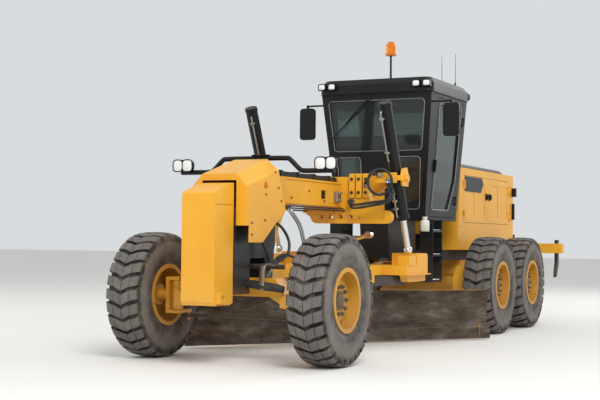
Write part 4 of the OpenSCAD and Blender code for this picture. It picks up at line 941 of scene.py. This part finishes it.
makePiece("upright_pipes_and_strap", silver, "front", "bare_steel")
makePiece("hard_pipes", pipes, "front", "dark_paint")
makePiece("hose_fittings", fittings, "front", "bare_steel")
print("hoses made")


# Hard pipes and their clamps on the lift cylinders

liftSize = {"back": -2210, "y": 880, "z": 2020, "tilt": 24.6, "radius": 0.072, "round": -20}
for key, side in (("l", 1), ("r", -1)):
    r = liftSize["radius"]
    clamp = platePart(roundedOutline(rectangle(0.046, 0.052) + (0.023, 0), 0.009), 0.03, 0.004)
    parts = []
    for top, low in ((0.86, 0.24), (-0.17, -0.47)):
        points = [(r - 0.004, 0, top), (r + 0.022, 0, top - 0.012), (r + 0.026, 0, top - 0.05),
                  (r + 0.026, 0, (top + low) / 2), (r + 0.026, 0, low + 0.05), (r + 0.022, 0, low + 0.012),
                  (r - 0.004, 0, low)]
        parts.append(carried(smoothPath(points, 5), circle(0.010, 10)))
        parts += [moved(clamp, None, (r - 0.004, 0, z)) for z in (top - 0.10, low + 0.10)]
    turn = turnAbout("y", liftSize["tilt"]) @ turnAbout("z", liftSize["round"] * side)
    place = fromAxle(liftSize["back"], side * liftSize["y"], liftSize["z"])
    makePiece("lift_pipes_" + key, [moved(part, turn, place) for part in parts], "lift_barrel_" + key,
              "bare_steel")
print("lift pipes made")


# Wiper, from its pivot under the eave down across the windshield

wiperSize = {"pivot": (-93, 3165), "tip": (-470, 2800), "half": 0.31, "bow": (0.008, 0, 0)}
lean = math.atan(cabWall["lean"] / cabWall["rise"])
pivot = frontWall(*wiperSize["pivot"]) + (0.012, 0, 0)
tip = frontWall(*wiperSize["tip"]) + (0.014, 0, 0)
way = (tip - pivot) / np.linalg.norm(tip - pivot)
arm = carried(smoothPath([pivot, pivot + way * 0.12 + (0.022, 0, 0), tip - way * 0.10 + (0.020, 0, 0), tip]),
              oval(0.014, 0.020))
along = np.array((lean * 0.7, -0.71, -0.70))
along /= np.linalg.norm(along)
middle = tip + (0.002, 0, 0)
spine = carried(smoothPath([middle - along * wiperSize["half"], middle - along * 0.15 + wiperSize["bow"],
                            middle + along * 0.15 + wiperSize["bow"], middle + along * wiperSize["half"]]),
                oval(0.012, 0.016))
hubDome = moved(headPart(0.030, 0.030), outward["+x"], pivot - (0.012, 0, 0))
makePiece("windshield_wiper", [arm, spine, hubDome], "front", "black_paint")
print("wiper made")


# Grab rails behind and in front of the cab, and antennas on its roof

rearRail = [(-5085, 700, 3215), (-5128, 704, 3205), (-5136, 704, 3150), (-5136, 690, 2800),
            (-5136, 672, 2520), (-5128, 670, 2470), (-5085, 668, 2462)]
frontRail = [(-3842, 590, 1840), (-3800, 600, 1840), (-3780, 600, 1880), (-3770, 615, 2060),
             (-3765, 625, 2240), (-3775, 625, 2290), (-3800, 625, 2295)]
rails = [routePart(sided(route, side), circle(radius, 10))
         for side in (1, -1) for route, radius in ((rearRail, 0.014), (frontRail, 0.012))]
makePiece("grab_rails", rails, "front", "black_paint")
whip = turnedPart([(0, -0.01), (0.026, -0.01), (0.026, 0.02), (0.014, 0.04), (0.012, 0.09), (0.004, 0.10),
                   (0.0025, 0.50), (0, 0.501)], 12)
makePiece("antennas", [moved(whip, None, fromAxle(-5060, y, 3412)) for y in (620, 420)], "front",
          "black_paint")
print("rails made")


# Hood latches on all four doors, and a dark panel on the front two

latchSize = {"wide": 0.075, "high": 0.115, "z": 1960}
plate = platePart(roundedOutline(rectangle(latchSize["wide"], latchSize["high"]), 0.012), 0.006, 0.002)
grip = smoothPath([(-0.022, 0.030, 0.006), (-0.020, 0.020, 0.020), (-0.014, -0.020, 0.022),
                   (-0.012, -0.036, 0.008)])
latchParts = [plate, carried(grip, oval(0.012, 0.030))]
panel = [(-6530, 2232), (-5706, 2232), (-5706, 2015), (-6480, 2015), (-6590, 2150)]
panelPart = platePart(np.array(panel) / 1000 + (frontX, 0), 0.003, 0.0008)
for key, x in (("f", -6733), ("r", -6897)):
    for sideName, side in (("l", 1), ("r", -1)):
        facing = [(side, 0, 0), (0, 0, side), (0, 1, 0)]
        place = fromAxle(x, side * hoodHalf, latchSize["z"])
        parts = [moved(part, facing, place) for part in latchParts]
        if key == "f":
            upright = [(1, 0, 0), (0, 0, side), (0, 1, 0)]
            parts.append(moved(panelPart, upright, (0, side * hoodHalf / 1000, 0)))
        makePiece("hood_latch_" + key + sideName, [outwardPart(*part) for part in parts],
                  "hood_door_" + key + sideName, "black_paint")
print("hood details made")


# Step treads: small raised rings in rows on each step

treadSize = {"x": -4195, "y": 595, "tops": (775, 1110, 1430), "stepX": 52, "stepY": 55, "long": 7, "deep": 3}
rim = turnedPart([(0.009, -0.001), (0.016, -0.001), (0.014, 0.004), (0.011, 0.004)], 8)
treads = []
for side in (1, -1):
    for top in treadSize["tops"]:
        for i in range(treadSize["long"]):
            for j in range(treadSize["deep"]):
                x, y = treadSize["x"] + i * treadSize["stepX"], treadSize["y"] + j * treadSize["stepY"]
                treads.append(moved(rim, None, fromAxle(x, side * y, top)))
makePiece("step_treads", treads, "front", "bare_steel")
print("treads made")


# Valve on the beam's side, a black plate that paints shade at the back of the beam's hole, and the seam of
# the front weight

block = platePart(roundedOutline(rectangle(0.11, 0.13), 0.012), 0.05, 0.006)
# painted shade: a black plate set back in the beam's hole makes the hole read dark
holeShadePlate = platePart(roundedOutline(rectangle(0.126, 0.096), 0.01), 0.004, 0.001)
seam = platePart(roundedOutline(rectangle(0.352, 0.004), 0.001, 3), 0.0012, 0.0003)
valveParts, holeShadeAndSeamParts = [], []
for side, face in bothSides:
    valveParts.append(moved(block, outward[face], fromAxle(-1960, side * beamHalf, 1790)))
    for x, z in ((-1985, 1840), (-1935, 1840), (-1960, 1750)):
        valveParts.append(hexPart(fromAxle(x, side * (beamHalf + 50), z), outward[face], 0.032, 0.022))
    holeShadeAndSeamParts.append(moved(holeShadePlate, outward[face], fromAxle(-1625, side * (beamHalf - 16), 1810)))
    holeShadeAndSeamParts.append(moved(seam, outward[face], fromAxle(690, side * 189.6, 1625)))
makePiece("beam_valves", valveParts, "front", "bare_steel")
# Black plates: painted shade in the beam's holes, and the front weight's seams
makePiece("beam_hole_shade_and_weight_seams", holeShadeAndSeamParts, "front", "black_paint")
print("beam valves made")


# Side markers on the nose cover, and the washer bottle on its bracket

lens = [(0, -0.004), (0.036, -0.004), (0.036, 0.004)]
lens += [(0.034 * math.cos(a), 0.004 + 0.014 * math.sin(a)) for a in np.linspace(0, math.pi / 2, 6)]
markers = [moved(turnedPart(lens, 24), outward[face], fromAxle(55, side * noseHalf, 1850))
           for side, face in bothSides]
makePiece("side_markers", markers, "front", "amber_lens")
bottle = turnedPart([(0, 0), (0.050, 0), (0.058, 0.010), (0.060, 0.05), (0.060, 0.13), (0.052, 0.150),
                     (0.026, 0.158), (0.026, 0.172), (0.034, 0.173), (0.034, 0.195), (0, 0.197)], 24)
makePiece("washer_bottle", [moved(bottle, None, fromAxle(-3786, 655, 1402))], "front", "window_glass",
          rubber("milky moulded plastic", bottleLook))
shelf = platePart(roundedOutline(rectangle(0.14, 0.14), 0.02), 0.005, 0.001)
riser = [(-3852, 655, 1640), (-3846, 655, 1560), (-3852, 655, 1460), (-3850, 655, 1400)]
bracketParts = [moved(shelf, None, fromAxle(-3790, 655, 1397)), routePart(riser, oval(0.008, 0.09))]
makePiece("bottle_bracket", bracketParts, "front", "black_paint")
print("markers and bottle made")


# Floor and light

stageSize = {"floorHalf": 80, "floor": "#E4E2DD", "sky": "#E9ECEE", "skyStrength": 0.85}
stageLamps = [("key", (14, 9, 12), 7.0, 2100), ("fill", (4, -14, 9), 9.0, 450),
              ("rim", (-14, 6, 9), 8.0, 800)]     # name, place, width and power


def makeStage(size):
    # A pale floor that runs far out behind the machine, an even sky, and large soft lights turned towards it
    half = size["floorHalf"]
    sheet = bpy.data.meshes.new("floor")
    sheet.from_pydata([(-half, -half, 0), (half, -half, 0), (half, half, 0), (-half, half, 0)], [],
                      [(0, 1, 2, 3)])
    floor = bpy.data.objects.new("floor", sheet)
    bpy.context.scene.collection.objects.link(floor)
    made, tree, surface = newMaterial("pale floor")
    shader = addNode(tree, "ShaderNodeBsdfPrincipled",
                     values={"Base Color": linear(size["floor"]), "Roughness": 0.9})
    tree.links.new(shader, surface)
    sheet.materials.append(made)
    floor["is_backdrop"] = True
    world = bpy.data.worlds.new("soft sky")
    bpy.context.scene.world = world
    world.use_nodes = True
    background = world.node_tree.nodes["Background"]
    background.inputs["Color"].default_value = linear(size["sky"])
    background.inputs["Strength"].default_value = size["skyStrength"]
    for name, place, width, power in stageLamps:
        lamp = bpy.data.lights.new(name, "AREA")
        lamp.size = width
        lamp.energy = power
        holder = bpy.data.objects.new(name, lamp)
        holder.location = place
        holder.rotation_mode = "QUATERNION"
        holder.rotation_quaternion = (Vector((0, 0, 1)) - Vector(place)).to_track_quat("-Z", "Y")
        bpy.context.scene.collection.objects.link(holder)


makeStage(stageSize)
print("stage set")

low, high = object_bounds()
